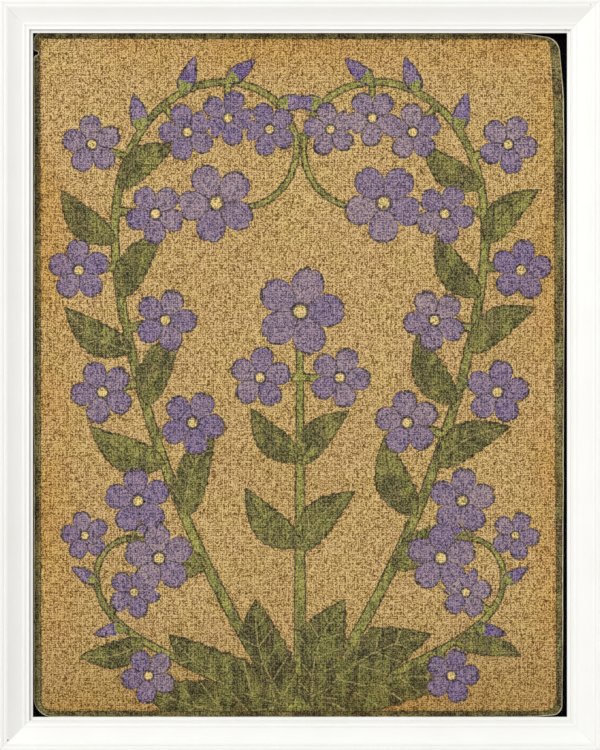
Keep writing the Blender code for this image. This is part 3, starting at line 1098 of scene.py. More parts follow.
def spray(start, heading, length, bend, curl, straight):
    """Points (x, y, heading, share of the length) on a line that curls towards its end."""
    x, y = start
    angle = math.radians(heading)
    step = length / SPRAY_STEPS
    points = []
    for i in range(SPRAY_STEPS + 1):
        t = i / SPRAY_STEPS
        points.append((x, y, angle, t))
        k = max(0.0, (t - straight) / (1 - straight))
        angle += (bend + curl * k * k * (3 - 2 * k)) * step
        x += math.cos(angle) * step
        y += math.sin(angle) * step
    return points


def leaf(x, y, angle, length, width, shade, kind=LEAF):
    leaf_stamps.append((x, y, angle, length, width, shade, kind))


def flower(x, y, radius):
    turn = random_draw.uniform(0, math.tau)
    flower_stamps.append((x, y, turn, radius, random_draw.random()))


def grow(points, width, side, leaves, flowers, buds, leaf_size, flower_size):
    """Draws a spray on one side of the middle, and sets its leaves, flowers and buds."""
    stems.append([(side * x, y, width * (1 - 0.55 * t)) for x, y, _, t in points])

    def at(t):
        x, y, angle, _ = points[round(t * (len(points) - 1))]
        return side * x, y, angle if side > 0 else math.pi - angle

    for k, t in enumerate(leaves):
        x, y, angle = at(t)
        turn = side * (LEAF_ANGLE if k % 2 else -LEAF_ANGLE)
        size = leaf_size * (1.15 - 0.45 * t)
        leaf(x, y, angle + turn, size, size * 0.21, random_draw.uniform(0.25, 0.8))
    for t, out in flowers:
        x, y, angle = at(t)
        end_x = x - math.sin(angle) * out * side
        end_y = y + math.cos(angle) * out * side
        stems.append([(x, y, width * 0.55), (end_x, end_y, width * 0.45)])
        flower(end_x, end_y, flower_size * (1.12 - 0.3 * t))
    for t, turn, size in buds:
        x, y, angle = at(t)
        leaf(x, y, angle + turn * side, size, size * 0.24, random_draw.random(), BUD)
    x, y, angle = at(1.0)
    flower(x, y, flower_size * 1.25)


print("rules ready")

# %% Lay out the garland
TALL = {
    "width": 0.0027,
    "leaves": [0.175 + 0.06 * k for k in range(8)],
    "flowers": [(0.265 + 0.06 * k, (-0.019, 0.020)[k % 2]) for k in range(7)]
    + [(0.69, 0.018), (0.765, 0.018), (0.87, -0.018)],
    "buds": [(0.66, -0.8, 0.019), (0.715, -0.7, 0.019), (0.77, -0.7, 0.018), (0.825, -0.8, 0.018)],
    "leaf_size": 0.042,
    "flower_size": 0.0162,
}
LOW = {
    "width": 0.0022,
    "leaves": [0.46],
    "flowers": [(0.40, -0.014), (0.60, 0.016), (0.80, -0.013)],
    "buds": [(0.53, -0.9, 0.016), (0.70, -0.9, 0.015), (0.90, -0.9, 0.014)],
    "leaf_size": 0.036,
    "flower_size": 0.0142,
}
UPRIGHT = {
    "width": 0.0030,
    "leaves": [0.40, 0.405, 0.62, 0.625],
    "flowers": [(0.83, 0.020), (0.83, -0.020)],
    "buds": [],
    "leaf_size": 0.042,
    "flower_size": 0.018,
}
TUFT = ((9, 0.078, 0.015), (31, 0.070, 0.0155), (73, 0.056, 0.0145))

for side in (1, -1):
    grow(spray((0.0045, -0.168), 55, 0.475, 1.9, 34, 0.40), side=side, **TALL)
    grow(spray((0.010, -0.167), 24, 0.165, 0.8, 68, 0.32), side=side, **LOW)
    for angle, length, width in TUFT:
        heading = math.radians(angle if side > 0 else 180 - angle)
        leaf(side * 0.006, -0.166, heading, length, width, random_draw.uniform(0.8, 0.95))
grow(spray((0.0, -0.168), 90, 0.200, 0.0, 0.0, 0.5), side=1, **UPRIGHT)
print(len(stems), "stems,", len(leaf_stamps), "leaves and buds,", len(flower_stamps), "flowers")

# %% [markdown]
# The cloth reads the pattern from three small meshes. The stems are lines that know their
# width. A stamp is a point or a row of points, and each face of the cloth takes the nearest one
# and keeps its own place as measured from it. A wide stamp should win over a narrow one beside
# it, so a point is lifted off the cloth by less the wider its stamp is: the nearest point is
# then the stamp whose edge is nearest.

# %% Meshes that carry the pattern
POINTS_TO_A_LEAF = 7


def leaf_half_width(t, width, kind):
    if kind == BUD:
        return width * math.sin(math.pi * t**0.6) ** 0.7
    return width * math.sin(math.pi * t**0.75) ** 0.85


def stamp_mesh(name, rows):
    """Rows of (place and half width, origin, turn, form)."""
    spots, origins, turns, forms = zip(*rows)
    widest = max(half_width for *_, half_width in spots)
    lifted = [(x, y, math.sqrt(widest**2 - w**2)) for x, y, w in spots]
    vectors = {"origin": origins, "form": forms}
    return point_mesh(name, lifted, vectors=vectors, numbers={"turned_by": turns})


leaf_rows = []
for x, y, angle, length, width, shade, kind in leaf_stamps:
    form = (length, width, shade + 2.0 * kind)
    for i in range(POINTS_TO_A_LEAF):
        t = 0.04 + 0.92 * i / (POINTS_TO_A_LEAF - 1)
        out = length * t
        spot = (x + math.cos(angle) * out, y + math.sin(angle) * out, leaf_half_width(t, width, kind))
        leaf_rows.append((spot, (x, y, 0.0), angle, form))
flower_rows = [
    ((x, y, radius), (x, y, 0.0), angle, (radius, 0.0, shade))
    for x, y, angle, radius, shade in flower_stamps
]
leaves_mesh = stamp_mesh("leaf_stamps", leaf_rows)
flowers_mesh = stamp_mesh("flower_stamps", flower_rows)

stem_points = []
stem_edges = []
stem_widths = []
for line in stems:
    for i, (x, y, width) in enumerate(line):
        if i:
            stem_edges.append((len(stem_points) - 1, len(stem_points)))
        stem_points.append((x, y, 0.0))
        stem_widths.append(width)
stems_mesh = point_mesh("stem_lines", stem_points, stem_edges, numbers={"half_width": stem_widths})
print("stamp points:", len(leaf_rows), "and", len(flower_rows))

# %% [markdown]
# ## The cloth
#
# The panel is a coarse plain weave, about twelve threads to the inch, and each thread is a pair
# of yarns side by side. It could be a flat sheet with a bump map, but then its edge and its
# grazing view would be flat. Twenty thousand crossings of real threads would be too many faces.
# So a tree makes a sheet with two rows of points to a thread: high where two threads cross,
# half way between crossings and low in the holes. Threads wander and swell by seeded noise. The
# sheet is cut to the rounded outline, its edge is drawn onto that line, and it is closed at the
# back. The single yarns are too fine for the mesh, so the finish draws those.

# %% The cloth's outline: each corner's place and radius in millimetres
CLOTH_CORNERS = (
    (-133.7, 172.3, 5.0),
    (106.0, 172.1, 120.0),
    (129.8, 168.9, 8.0),
    (132.3, 140.0, 120.0),
    (132.8, 68.0, 900.0),
    (131.7, -170.2, 5.0),
    (116.0, -171.7, 80.0),
    (-133.6, -171.6, 9.5),
    (-133.6, 160.3, 0.3),
    (-131.3, 160.7, 0.5),
    (-131.2, 162.3, 0.5),
    (-133.7, 162.9, 0.3),
)
PRINT_CORNERS = (
    (-134.0, 172.3, 6.0),
    (129.0, 172.0, 8.0),
    (131.1, 130.0, 200.0),
    (132.2, -172.2, 9.0),
    (-133.4, -172.2, 9.0),
)
CORNER_STEPS = 16
cloth_low, cloth_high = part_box("print_cloth")
CLOTH_BACK = -cloth_high.y
CLOTH_THICK = cloth_high.y - cloth_low.y


def rounded_outline(corners):
    """A polygon with its own radius at each corner, every rounding an arc."""
    outline = []
    corners = [(x * MM, y * MM, radius * MM) for x, y, radius in corners]
    for i, (x, y, radius) in enumerate(corners):
        here = Vector((x, y))
        before = (Vector(corners[i - 1][:2]) - here).normalized()
        after = (Vector(corners[(i + 1) % len(corners)][:2]) - here).normalized()
        half = before.angle(after) / 2
        centre = here + (before + after).normalized() * radius / math.sin(half)
        foot = here + before * radius / math.tan(half) - centre
        turn = math.copysign(math.pi - 2 * half, before.cross(after))
        for step in range(CORNER_STEPS + 1):
            point = centre + foot @ Matrix.Rotation(turn * step / CORNER_STEPS, 2)
            outline.append(tuple(point))
    return outline


cloth_outline = rounded_outline(CLOTH_CORNERS)
pairs = list(zip(cloth_outline, cloth_outline[1:] + cloth_outline[:1]))
cloth_area = abs(sum(a[0] * b[1] - b[0] * a[1] for a, b in pairs)) / 2
outline_object = outline_curve("cloth_outline", cloth_outline)
print_outline = outline_curve("print_outline", rounded_outline(PRINT_CORNERS))
print(f"cloth {CLOTH_THICK / MM:.1f} mm thick, flat area {cloth_area * 1e4:.1f} square cm")

# %% [markdown]
# Each point of the grid stores which warp and weft thread it lies on before it is moved. The
# pull to either side is a smooth noise that changes slowly along a thread and quickly across it,
# so a thread wanders as a whole.

# %% A grid of wandering threads
WARP_PITCH = 2.14 * MM
WEFT_PITCH = 2.08 * MM
WARPS = 125
WEFTS = 165
WANDER = 1.1 * MM


def thread_grid(tree, given, x, y):
    """A flat grid of threads that wander a little; each point stores which threads it is on."""
    size = {
        "Size X": given["Warps"] * given["Warp Pitch"],
        "Size Y": given["Wefts"] * given["Weft Pitch"],
        "Vertices X": given["Warps"] * 2.0 + 1.0,
        "Vertices Y": given["Wefts"] * 2.0 + 1.0,
    }
    warp = x / given["Warp Pitch"]
    weft = y / given["Weft Pitch"]
    slub = ripple(warp * 1.3, weft * 0.07, 3.0, 3.0) + ripple(warp * 0.07, weft * 1.3, 8.0, 3.0)
    sheet = store(geo("MeshGrid", size), "thread", vector(warp, weft, slub - 1.0))
    aside = ripple(warp * 0.9, weft * 0.13, 20.0, 1.0) - 0.5
    along = ripple(warp * 0.13, weft * 0.9, 40.0, 1.0) - 0.5
    return moved(sheet, Offset=vector(aside * given["Wander"], along * given["Wander"]))


print("threads:", WARPS, "by", WEFTS)

# %% [markdown]
# The cut takes two steps. A face is kept where its middle lies inside the line and a fifth of a
# pitch or more from it. Then the points of the new rim are drawn onto the line, which wavers a
# little, as the edge of cloth does that was cut by hand.

# %% The cut along the outline
EDGE_STEP = 0.7 * MM
EDGE_WAVER = 0.5


def cut_to_outline(tree, given, sheet, here, x, y):
    """Deletes the faces outside the line and draws the new rim onto it."""
    edge = geometry_of(given["Outline"])
    edge = geo("ResampleCurve", {"Curve": edge, "Length": EDGE_STEP}, mode="LENGTH")
    waver_x = noise(here, 28.0, 3.0) - 0.5
    waver_y = noise(vector(y, x, 5.0), 28.0, 3.0) - 0.5
    waver = vector(waver_x * EDGE_WAVER * MM, waver_y * EDGE_WAVER * MM)
    edge = moved(edge, Offset=waver)
    edge = store(edge, "heading", source(tree, "GeometryNodeInputTangent"))
    line = geo("CurveToMesh", {"Curve": store(edge, "spot", here)})

    distance, on_line = nearest_edge(line)
    beside = geo("SampleNearest", {"Geometry": line})
    heading_x, heading_y, _ = parts(sample(line, "heading", beside))
    spot_x, spot_y, _ = parts(sample(line, "spot", beside))
    to_left = heading_x * (y - spot_y) - heading_y * (x - spot_x)
    kept = (to_left < 0.0) * (distance > given["Warp Pitch"] * 0.2)
    kept_face = on_domain(kept > 0.5, "BOOLEAN", "FACE")
    cut_off = make("FunctionNodeBooleanMath", {0: kept_face}, operation="NOT")
    cutting = {"Geometry": sheet, "Selection": cut_off}
    sheet = geo("DeleteGeometry", cutting, domain="FACE", mode="ALL")
    faces_beside = source(tree, "GeometryNodeInputMeshEdgeNeighbors")
    rim = on_domain(faces_beside < 1.5, "BOOLEAN", "EDGE")
    sheet = moved(sheet, Selection=rim, Position=on_line)
    return store(sheet, "edge_distance", distance, "FLOAT"), rim


print("cut ready")

# %% [markdown]
# The print isn't drawn in the tree. Each point stores how far it lies from the border and from
# the nearest stem. Each face takes its nearest leaf and flower, and its corners store their place
# on it. The finish draws the shapes from these numbers.

# %% Places on the print
def stamp_on(sheet, stamps, name, x, y):
    """Each face takes its nearest stamp, and its corners keep their place as measured from it."""
    nearest = geo("SampleNearest", {"Geometry": stamps}, domain="POINT")
    own = on_domain(nearest, "INT", "FACE")
    origin_x, origin_y, _ = parts(sample(stamps, "origin", own))
    angle = sample(stamps, "turned_by", own, "FLOAT")
    cos, sin = angle.cosine(), angle.sine()
    dx, dy = x - origin_x, y - origin_y
    local = vector(dx * cos + dy * sin, dy * cos - dx * sin)
    sheet = store(sheet, name + "_place", local, domain="CORNER")
    return store(sheet, name + "_form", sample(stamps, "form", own), domain="CORNER")


def print_on(given, sheet, x, y):
    """Stores how far each point lies from the printed shapes."""
    border = geo("CurveToMesh", {"Curve": geometry_of(given["Print Outline"])})
    sheet = store(sheet, "border_distance", nearest_edge(border)[0], "FLOAT")
    lines = geometry_of(given["Stems"])
    stem = geo("SampleNearest", {"Geometry": lines})
    half_width = sample(lines, "half_width", stem, "FLOAT")
    sheet = store(sheet, "stem_distance", nearest_edge(lines)[0] - half_width, "FLOAT")
    for name, stamps in (("leaf", "Leaves"), ("flower", "Flowers")):
        sheet = stamp_on(sheet, geometry_of(given[stamps]), name, x, y)
    return sheet


print("print ready")

# %% [markdown]
# Last the crossings are raised and the sheet is closed. The rim is drawn out into a wall, the
# wall's foot is set on the back plane, and a flat face fills it. Points that the wall and the
# back share are merged.

# %% Relief, wall and back
RELIEF = 0.14 * MM
CREST_LIMIT = 1.2


def raise_and_close(tree, given, sheet, rim, x, y):
    """Lifts the crossings, and closes the sheet with a wall round its rim and a flat back."""
    warp, weft, slub = parts(read(tree, "thread"))
    crest = (warp * math.tau).cosine() + (weft * math.tau).cosine()
    uneven = 0.8 + 0.4 * chance(vector(warp, weft))
    lift = (crest * 0.5 * uneven + slub * 1.2).most(-CREST_LIMIT).least(CREST_LIMIT)
    top = given["Thickness"] - given["Relief"] * CREST_LIMIT + lift * given["Relief"]
    sheet = moved(sheet, Position=vector(x, y, top))
    inputs = {"Mesh": sheet, "Selection": rim, "Offset Scale": 0.0}
    walls = add(tree, "GeometryNodeExtrudeMesh", inputs, mode="EDGES")
    body, foot = wires_from(walls, "Mesh", "Top")
    body = moved(body, Selection=foot, Position=vector(x, y, 0.0))
    hem = geo("MeshToCurve", {"Mesh": body, "Selection": foot})
    back = geo("FillCurve", {"Curve": hem}, mode="NGONS")
    joined = add(tree, "GeometryNodeJoinGeometry")
    feed(joined, 0, back)
    feed(joined, 0, body)
    return geo("MergeByDistance", {"Geometry": wires_from(joined, 0)[0], "Distance": 1e-6})


print("relief ready")

# %% The whole weaving tree
def cloth_tree():
    pitches = ("Warp Pitch", "Weft Pitch")
    heights = ("Thickness", "Relief", "Wander", "Back Height", "Middle Height")
    tree, given = new_tree(
        "woven_sheet",
        {
            "Object": ("Outline", "Print Outline", "Stems", "Leaves", "Flowers"),
            "Int": ("Warps", "Wefts"),
            "Float": pitches + heights,
            "Material": ("Finish",),
        },
    )
    here = source(tree, "GeometryNodeInputPosition")
    x, y, z = parts(here)
    sheet, rim = cut_to_outline(tree, given, thread_grid(tree, given, x, y), here, x, y)
    sheet = print_on(given, sheet, x, y)
    closed = raise_and_close(tree, given, sheet, rim, x, y)
    upright = vector(x, (z + given["Back Height"]) * -1.0, y + given["Middle Height"])
    end_tree(moved(closed, Position=upright), given["Finish"])
    return tree


weave = cloth_tree()
print("nodes in the weaving tree:", len(weave.nodes))

# %% [markdown]
# ## The cloth's finish
#
# The thread places that the tree stored drive the colour. Every yarn has its own tone, which
# drifts along it, and fine streaks follow the yarns both ways. Painted shade darkens the holes
# between yarns, deep in some and faint in others. The ink went on after weaving, in flat
# shapes with a dark, uneven line round them. It is thin, so the weave, its flecks and its
# painted shade show through it. Each shape is a distance worked out from the stamp's own
# coordinates: negative inside, zero on its edge.

# %% How ink is laid
GREEN_LINE = tone(44, 46, 30)
VIOLET_LINE = tone(50, 46, 74)


def stored(tree, name, output="Vector"):
    return source(tree, "ShaderNodeAttribute", output, attribute_name=name)


def within(distance, edge=0.0, soft=0.2 * MM):
    """1 where the distance is below the edge, fading to 0 just past it."""
    return distance.rise(edge - soft, edge + soft, 1.0, 0.0)


class Print:
    """Ink laid in turn on the cloth: its colour, and how much of the cloth it covers."""

    def __init__(self, place):
        self.tree = place.tree
        self.colour = GREEN_LINE
        self.cover = source(self.tree, "ShaderNodeValue") * 0.0
        x, y, z = parts(place)
        rough = noise(place, 260.0, 3.0) - 0.5
        fine = noise(place, 1000.0) - 0.5
        self.waver = rough * 1.5 * MM + fine * 0.9 * MM
        self.line_width = noise(place, 130.0).rise(0.3, 0.7, 0.45 * MM, 1.5 * MM)
        self.pool = noise(place, 110.0, 3.0)
        self.patch = noise(vector(x, y, z * 0.4), 190.0, 3.0)
        self.specks = noise(place, 620.0).rise(0.54, 0.62)

    def read(self, name, output="Vector"):
        return stored(self.tree, name, output)

    def lay(self, amount, colour):
        self.colour = mix(amount, self.colour, colour)
        self.cover = self.cover.most(amount)

    def leave_bare(self, amount):
        self.cover = self.cover * (1.0 - amount)


print("inks ready")

# %% Stems, leaves and buds
LIGHT_LEAF = (tone(130, 130, 64), tone(90, 96, 48))
DARK_LEAF = (tone(76, 84, 46), tone(44, 50, 30))
LEAF_SHADOW = tone(56, 62, 38)
VEIN = tone(146, 140, 84)
BUD_VIOLET = (tone(122, 104, 144), tone(82, 68, 144))
SEPAL = tone(128, 134, 68)
TEETH = 9.0
VEINS = 6.0


def lay_stems(ink):
    distance = ink.read("stem_distance", "Fac") + ink.waver
    ink.lay(within(distance, 0.5 * MM), GREEN_LINE)
    green = mix(ink.patch.rise(0.42, 0.62), tone(140, 140, 70), tone(94, 100, 54))
    ink.lay(within(distance, -0.35 * MM), green)


def lay_leaves(ink):
    x, y, _ = parts(ink.read("leaf_place"))
    length, width, shade = parts(ink.read("leaf_form"))
    bud = shade > 1.5
    t = (x / length).most(0.001).least(0.999)
    on_length = (x > 0.0) * (x < length)
    side = y - (t * math.pi).sine() * length * 0.10 * (1.0 - bud)
    shape = (t.power(0.75 - bud * 0.15) * math.pi).sine().power(0.85 - bud * 0.15)
    teeth = (t * TEETH).through("FRACT") - 0.5
    teeth = 1.0 + (abs(teeth) * 2.0 - 0.5) * 0.10 * (1.0 - bud)
    distance = abs(side) - width * shape * teeth + ink.waver
    fill = mix(ink.patch.rise(0.42, 0.58), mix(shade, *LIGHT_LEAF), mix(shade, *DARK_LEAF))
    fill = mix((side > 0.0) * 0.3, fill, LEAF_SHADOW)
    fill = mix(bud, fill, mix(ink.pool.rise(0.4, 0.6), *BUD_VIOLET))
    fill = mix(bud * within(t, 0.30, 0.04), fill, SEPAL)
    ink.lay(on_length * within(distance, 0.1 * MM), mix(bud, GREEN_LINE, VIOLET_LINE))
    ink.lay(on_length * within(distance + ink.line_width), fill)
    rib = within(abs(side), 0.35 * MM, 0.15 * MM) * (t < 0.9)
    slant = (t * VEINS - abs(side) / width * 1.2).through("FRACT") - 0.5
    veins = within(abs(slant), 0.045, 0.02) * within(distance, -1.4 * MM)
    marks = rib.most(veins) * within(distance, -0.6 * MM) * on_length * (1.0 - bud)
    ink.lay(marks * 0.75, mix(shade.rise(0.45, 0.65), GREEN_LINE, VEIN))
    ink.leave_bare(on_length * within(abs(distance - 0.25 * MM), 0.25 * MM) * ink.specks * 0.8)


print("stems, leaves and buds ready")

# %% Flowers and border
PETAL = (tone(108, 93, 140), tone(142, 124, 142))
PETAL_BLUE = tone(92, 78, 140)
PETAL_DEEP = tone(76, 64, 136)
PETAL_VEIN = tone(76, 64, 130)
FLOWER_EYE = tone(206, 182, 122)
BAND_HALF = 1.9 * MM


def lay_flowers(ink):
    x, y, _ = parts(ink.read("flower_place"))
    radius, _, shade = parts(ink.read("flower_form"))
    out = (x * x + y * y).through("SQRT")
    angle = y.through("ARCTAN2", x) * 2.5
    petal = abs(angle.cosine())
    parting = abs(angle.sine())
    own_tone = chance(vector((angle / math.pi).rounded(), shade * 57.0))
    notch = 1.0 - 0.07 * (1.0 - parting * 6.0).most(0.0)
    distance = out - radius * (0.50 + 0.50 * petal.power(0.55)) * notch + ink.waver
    fill = mix(shade.rise(0.3, 1.0, 0.0, 0.5), mix(own_tone, *PETAL), PETAL_BLUE)
    deep = ink.pool.rise(0.44, 0.60) * distance.rise(-4.5 * MM, -0.8 * MM, 0.25, 1.0)
    fill = mix(deep * 0.9, fill, PETAL_DEEP)
    ink.lay(within(distance, 0.2 * MM), VIOLET_LINE)
    ink.lay(within(distance + ink.line_width), fill)
    seam = within(petal * out, 0.9 * MM) * (out > radius * 0.25) * within(distance)
    vein = within(parting * out, 0.45 * MM) * within(abs(out / radius - 0.5), 0.18, 0.05)
    ink.lay(seam * 0.9, VIOLET_LINE)
    ink.lay(vein * 0.6, PETAL_VEIN)
    ink.lay(within(out / radius, 0.22, 0.02), VIOLET_LINE)
    ink.lay(within(out / radius, 0.14, 0.02), FLOWER_EYE)
    ink.leave_bare(within(abs(distance - 0.3 * MM), 0.25 * MM) * ink.specks * 0.8)
    ink.leave_bare(within(abs(distance + 1.4 * MM), 0.3 * MM) * ink.specks * 0.5)


def lay_border(ink):
    """A dark green band round the print, with a darker line inside it."""
    edge = ink.read("border_distance", "Fac")
    band = within(abs(edge - BAND_HALF) + ink.waver, BAND_HALF, 0.25 * MM)
    ink.lay(band, mix(ink.patch.rise(0.40, 0.60), tone(108, 106, 64), tone(54, 54, 34)))
    ink.lay(within(abs(edge - 3.4 * MM) + ink.waver * 0.6, 0.35 * MM), tone(58, 48, 22))


print("flowers and border ready")

# %% [markdown]
# How light the cloth is at a point is a sum of terms, each with its own weight: which yarns
# cross there, painted shade that grows with the distance from their middles and in the holes
# between them, fibres, flecks and long streaks both ways. The sum then picks a tone between dark
# brown and pale straw.

# %% The weave's own tones
YARNS = 2.0
COMMON_LIGHT = 0.85
GROUND = (
    (0.0, tone(78, 52, 14)),
    (0.35, tone(139, 102, 46)),
    (0.60, tone(185, 148, 89)),
    (1.0, tone(229, 201, 147)),
)


def weave_tone_and_shade(place):
    """How light the cloth is, painted shade included, from about 0 to 1, with 0.6 as its common tone."""
    warp, weft, slub = parts(stored(place.tree, "thread"))
    warp, weft = warp * YARNS, weft * YARNS
    column, row = warp.rounded(), weft.rounded()
    across, up = abs(warp - column) * 2.0, abs(weft - row) * 2.0
    warp_over = abs((column + row).through("MODULO", 2.0))
    beside = up + (across - up) * warp_over
    along = across + (up - across) * warp_over
    crossing = chance(vector(column, row))
    depth = chance(vector(warp.through("FLOOR"), weft.through("FLOOR"), 3.0))
    hole_shade = (1.0 - (warp * math.pi).cosine()) * (1.0 - (weft * math.pi).cosine())
    warp_tone = ripple(column * 3.7, weft * 0.05, 1.0, 3.0)
    weft_tone = ripple(warp * 0.05, row * 3.7, 6.0, 3.0)
    fibre = ripple(warp * 3.5, weft * 1.3, 11.0)
    fibre_across = ripple(warp * 1.3, weft * 3.5, 15.0)
    x, y, z = parts(place)
    fleck = noise(vector(x, y, z * 1.2), 1300.0)
    terms = (
        (0.22, crossing - 0.5),
        (-0.14, crossing.rise(0.0, 0.35, 1.0, 0.0)),
        # painted shade: darker towards each yarn's sides and where it dips under, and in the holes
        (-0.18, beside.power(2.0)),
        (-0.12, along.power(3.0)),
        (-0.66, (across * up).power(2.0) * depth.rise(0.1, 0.9)),
        (-0.05, hole_shade),
        (1.1, fibre_across + (fibre - fibre_across) * warp_over - 0.5),
        (2.6, fleck - 0.5),
        (2.0, noise(vector(x, y, z * 1.3), 1500.0, 1.0) - 0.5),
        (0.85, ripple(warp * 1.2, weft * 0.16, 1.0) - 0.5),
        (0.55, ripple(warp * 0.24, weft * 1.2, 6.0) - 0.5),
        (0.25, warp_tone * warp_over + weft_tone * (1.0 - warp_over) - 0.5),
        (0.08, slub),
    )
    return sum((weight * term for weight, term in terms), COMMON_LIGHT), fleck


print("weave ready")

# %% The cloth's finish
WARM = (1.0, 0.95, 0.97, 1.0)
YELLOW = (0.98, 0.98, 0.84, 1.0)
GREYED = (0.95, 0.93, 0.90, 1.0)
OLD_EDGE = (1.0, 0.82, 0.48, 1.0)
DARKER_TOWARDS_BOTTOM = (0.82, 0.78, 0.68, 1.0)
CUT_EDGE = tone(236, 222, 190)
INK_WEAVE_TONE_AND_SHADE = ((0.05, (0.15, 0.15, 0.16, 1.0)), (0.60, (1.0, 1.0, 1.0, 1.0)), (1.0, (1.7, 1.65, 1.5, 1.0)))


def between(number, stops):
    """A colour for a number, mixed from the two stops on either side of it."""
    (start, colour), *rest = stops
    for end, next_colour in rest:
        colour = mix(number.ramp(start, end), colour, next_colour)
        start = end
    return colour


def printed_cloth():
    made, shader, place = new_finish("printed_coarse_cloth")
    edge = stored(place.tree, "edge_distance", "Fac")
    light, fleck = weave_tone_and_shade(place)
    cloth = between(light, GROUND)

    blotch = noise(place, 75.0, 3.0)
    broad = noise(place, 14.0, 3.0)
    cloth = mix(0.7, cloth, mix(blotch.rise(0.35, 0.65), WARM, YELLOW), "MULTIPLY")
    cloth = mix(broad.rise(0.35, 0.7), cloth, GREYED, "MULTIPLY")
    old = edge.rise(3.0 * MM, 30.0 * MM, 1.0, 0.0) * broad.rise(0.3, 0.65)
    cloth = mix(old * 0.7, cloth, OLD_EDGE, "MULTIPLY")
    # the cloth grows darker towards its bottom, over its lowest six centimetres or so
    height = parts(place)[2] - MIDDLE.z + (broad - 0.5) * 60.0 * MM
    cloth = mix(height.rise(-170.0 * MM, -110.0 * MM, 1.0, 0.0), cloth, DARKER_TOWARDS_BOTTOM, "MULTIPLY")

    ink = Print(place)
    for lay in (lay_stems, lay_leaves, lay_flowers, lay_border):
        lay(ink)
    # the ink takes the weave's own tone and its painted shade in yarn sides and holes
    inked = mix(1.0, ink.colour, between(light, INK_WEAVE_TONE_AND_SHADE), "MULTIPLY")
    worn = ink.pool.rise(0.35, 0.75, 0.97, 0.86) * light.ramp(0.62, 1.0, 1.0, 0.75)
    colour = mix(ink.cover * worn, cloth, inked)
    cut = within(edge + ink.waver * 0.5, 0.38 * MM, 0.15 * MM) * broad.rise(0.4, 0.55, 0.4, 1.0)
    colour = mix(cut, colour, CUT_EDGE)
    fixed = {"Specular IOR Level": 0.25, "Sheen Weight": 0.05, "Sheen Roughness": 0.5}
    coat(shader, colour, fleck.rise(0.3, 0.7, 0.80, 0.95), light, 0.06 * MM, fixed)
    return made


CLOTH = printed_cloth()
print("cloth nodes:", len(CLOTH.node_tree.nodes))

# %% Weave the cloth
inputs = {
    "Outline": outline_object,
    "Print Outline": print_outline,
    "Warps": WARPS,
    "Wefts": WEFTS,
    "Warp Pitch": WARP_PITCH,
    "Weft Pitch": WEFT_PITCH,
    "Thickness": CLOTH_THICK,
    "Relief": RELIEF,
    "Wander": WANDER,
    "Back Height": CLOTH_BACK,
    "Middle Height": MIDDLE.z,
    "Stems": stems_mesh,
    "Leaves": leaves_mesh,
    "Flowers": flowers_mesh,
    "Finish": CLOTH,
}
woven_print = tidy(run(weave, "woven_print", inputs), 60)
stands_for(woven_print, "printed_cloth", "print_cloth")

# %% [markdown]
# ## Flat sheets
#
# The pane, the black board, the hardboard back and the spacers are flat stock, and the packed
# pieces already have their shape. They only need finishes. The glass is the kind that is
# coated against reflections: nearly all light goes through, and a faint gloss is left where a
# wiping cloth has smeared it.

# %% Clear picture glass
def picture_glass():
    made, shader, place = new_finish("picture_glass")
    tree = place.tree
    tree.nodes.remove(shader)
    smear = noise(place, 30.0, 4.0)
    clear = {"Color": (0.99, 0.995, 0.99, 1.0)}
    through = source(tree, "ShaderNodeBsdfTransparent", inputs=clear)
    gloss = make("ShaderNodeBsdfGlossy", {"Roughness": smear.rise(0.3, 0.8, 0.02, 0.10)})
    share = source(tree, "ShaderNodeFresnel", inputs={"IOR": 1.07})
    mixed = make("ShaderNodeMixShader", {0: share, 1: through, 2: gloss})
    feed(tree.nodes["Material Output"], "Surface", mixed)
    return made


dress(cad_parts["glazing"], picture_glass())
print("glass dressed")

# %% [markdown]
# The mount board is faced with black paper: a soft, dead black with a trace of fibre. The back
# is hardboard, pressed from brown wood fibre: short dark and light flecks in every direction on
# a smooth face. The spacers are extruded black plastic with faint lines along them.

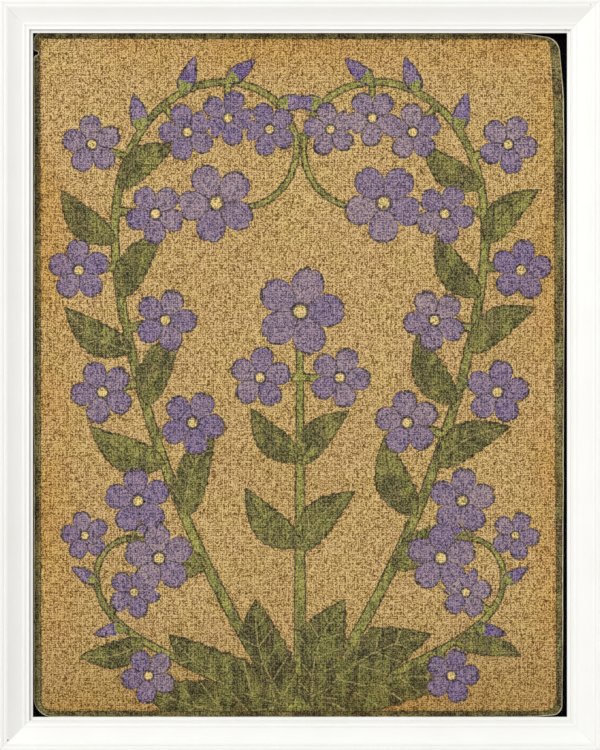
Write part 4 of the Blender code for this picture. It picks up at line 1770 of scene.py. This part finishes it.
# %% Black board, hardboard and plastic
BOARD_BLACK = ((0.0010, 0.0010, 0.0011, 1.0), (0.004, 0.004, 0.004, 1.0))
FLECK_TURNS = ((0.3, 1.0), (1.4, 2.0), (2.5, 3.0))


def black_board():
    made, shader, place = new_finish("black_mount_board")
    fibre = noise(place, 1800.0, 4.0)
    colour = mix(fibre.rise(0.3, 0.8), *BOARD_BLACK)
    fixed = {"Specular IOR Level": 0.02}
    coat(shader, colour, fibre.rise(0.3, 0.7, 0.88, 1.0), fibre, 0.03 * MM, fixed)
    return made


def hardboard():
    made, shader, place = new_finish("hardboard_back")
    x, y, z = parts(place)
    flecks = []
    for turn, seed in FLECK_TURNS:
        along = x * math.cos(turn) + z * math.sin(turn)
        across = z * math.cos(turn) - x * math.sin(turn)
        flecks.append(noise(vector(along * 0.25, seed, across), 1300.0))
    fibre = flecks[0].most(flecks[1]).most(flecks[2])
    cloud = noise(place, 40.0, 5.0)
    colour = mix(cloud.rise(0.3, 0.75), tone(131, 92, 58), tone(122, 84, 52))
    colour = mix(fibre.rise(0.55, 0.72, 0.0, 0.7), colour, tone(168, 128, 88))
    colour = mix(flecks[1].rise(0.42, 0.28, 0.0, 0.7), colour, tone(72, 46, 28))
    coat(shader, colour, fibre.rise(0.4, 0.8, 0.45, 0.65), fibre, 0.05 * MM)
    return made


def black_plastic():
    made, shader, place = new_finish("black_spacer_plastic")
    x, y, z = parts(place)
    from_side, from_end = distance_in(x, z)
    lines = noise(vector(from_side.least(from_end), y), 2500.0)
    colour = mix(noise(place, 1600.0).rise(0.3, 0.7), tone(30, 30, 31), tone(44, 44, 45))
    coat(shader, colour, lines.rise(0.3, 0.7, 0.45, 0.62), lines, 0.03 * MM)
    return made


dress(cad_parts["mount_board"], black_board())
dress(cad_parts["backing_board"], hardboard())
plastic = black_plastic()
for side in SIDES:
    dress(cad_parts["spacer_" + side], plastic)
print("boards and spacers dressed")

# %% Finish
for obj in helpers:
    bpy.data.objects.remove(obj, do_unlink=True)
bpy.context.view_layer.update()
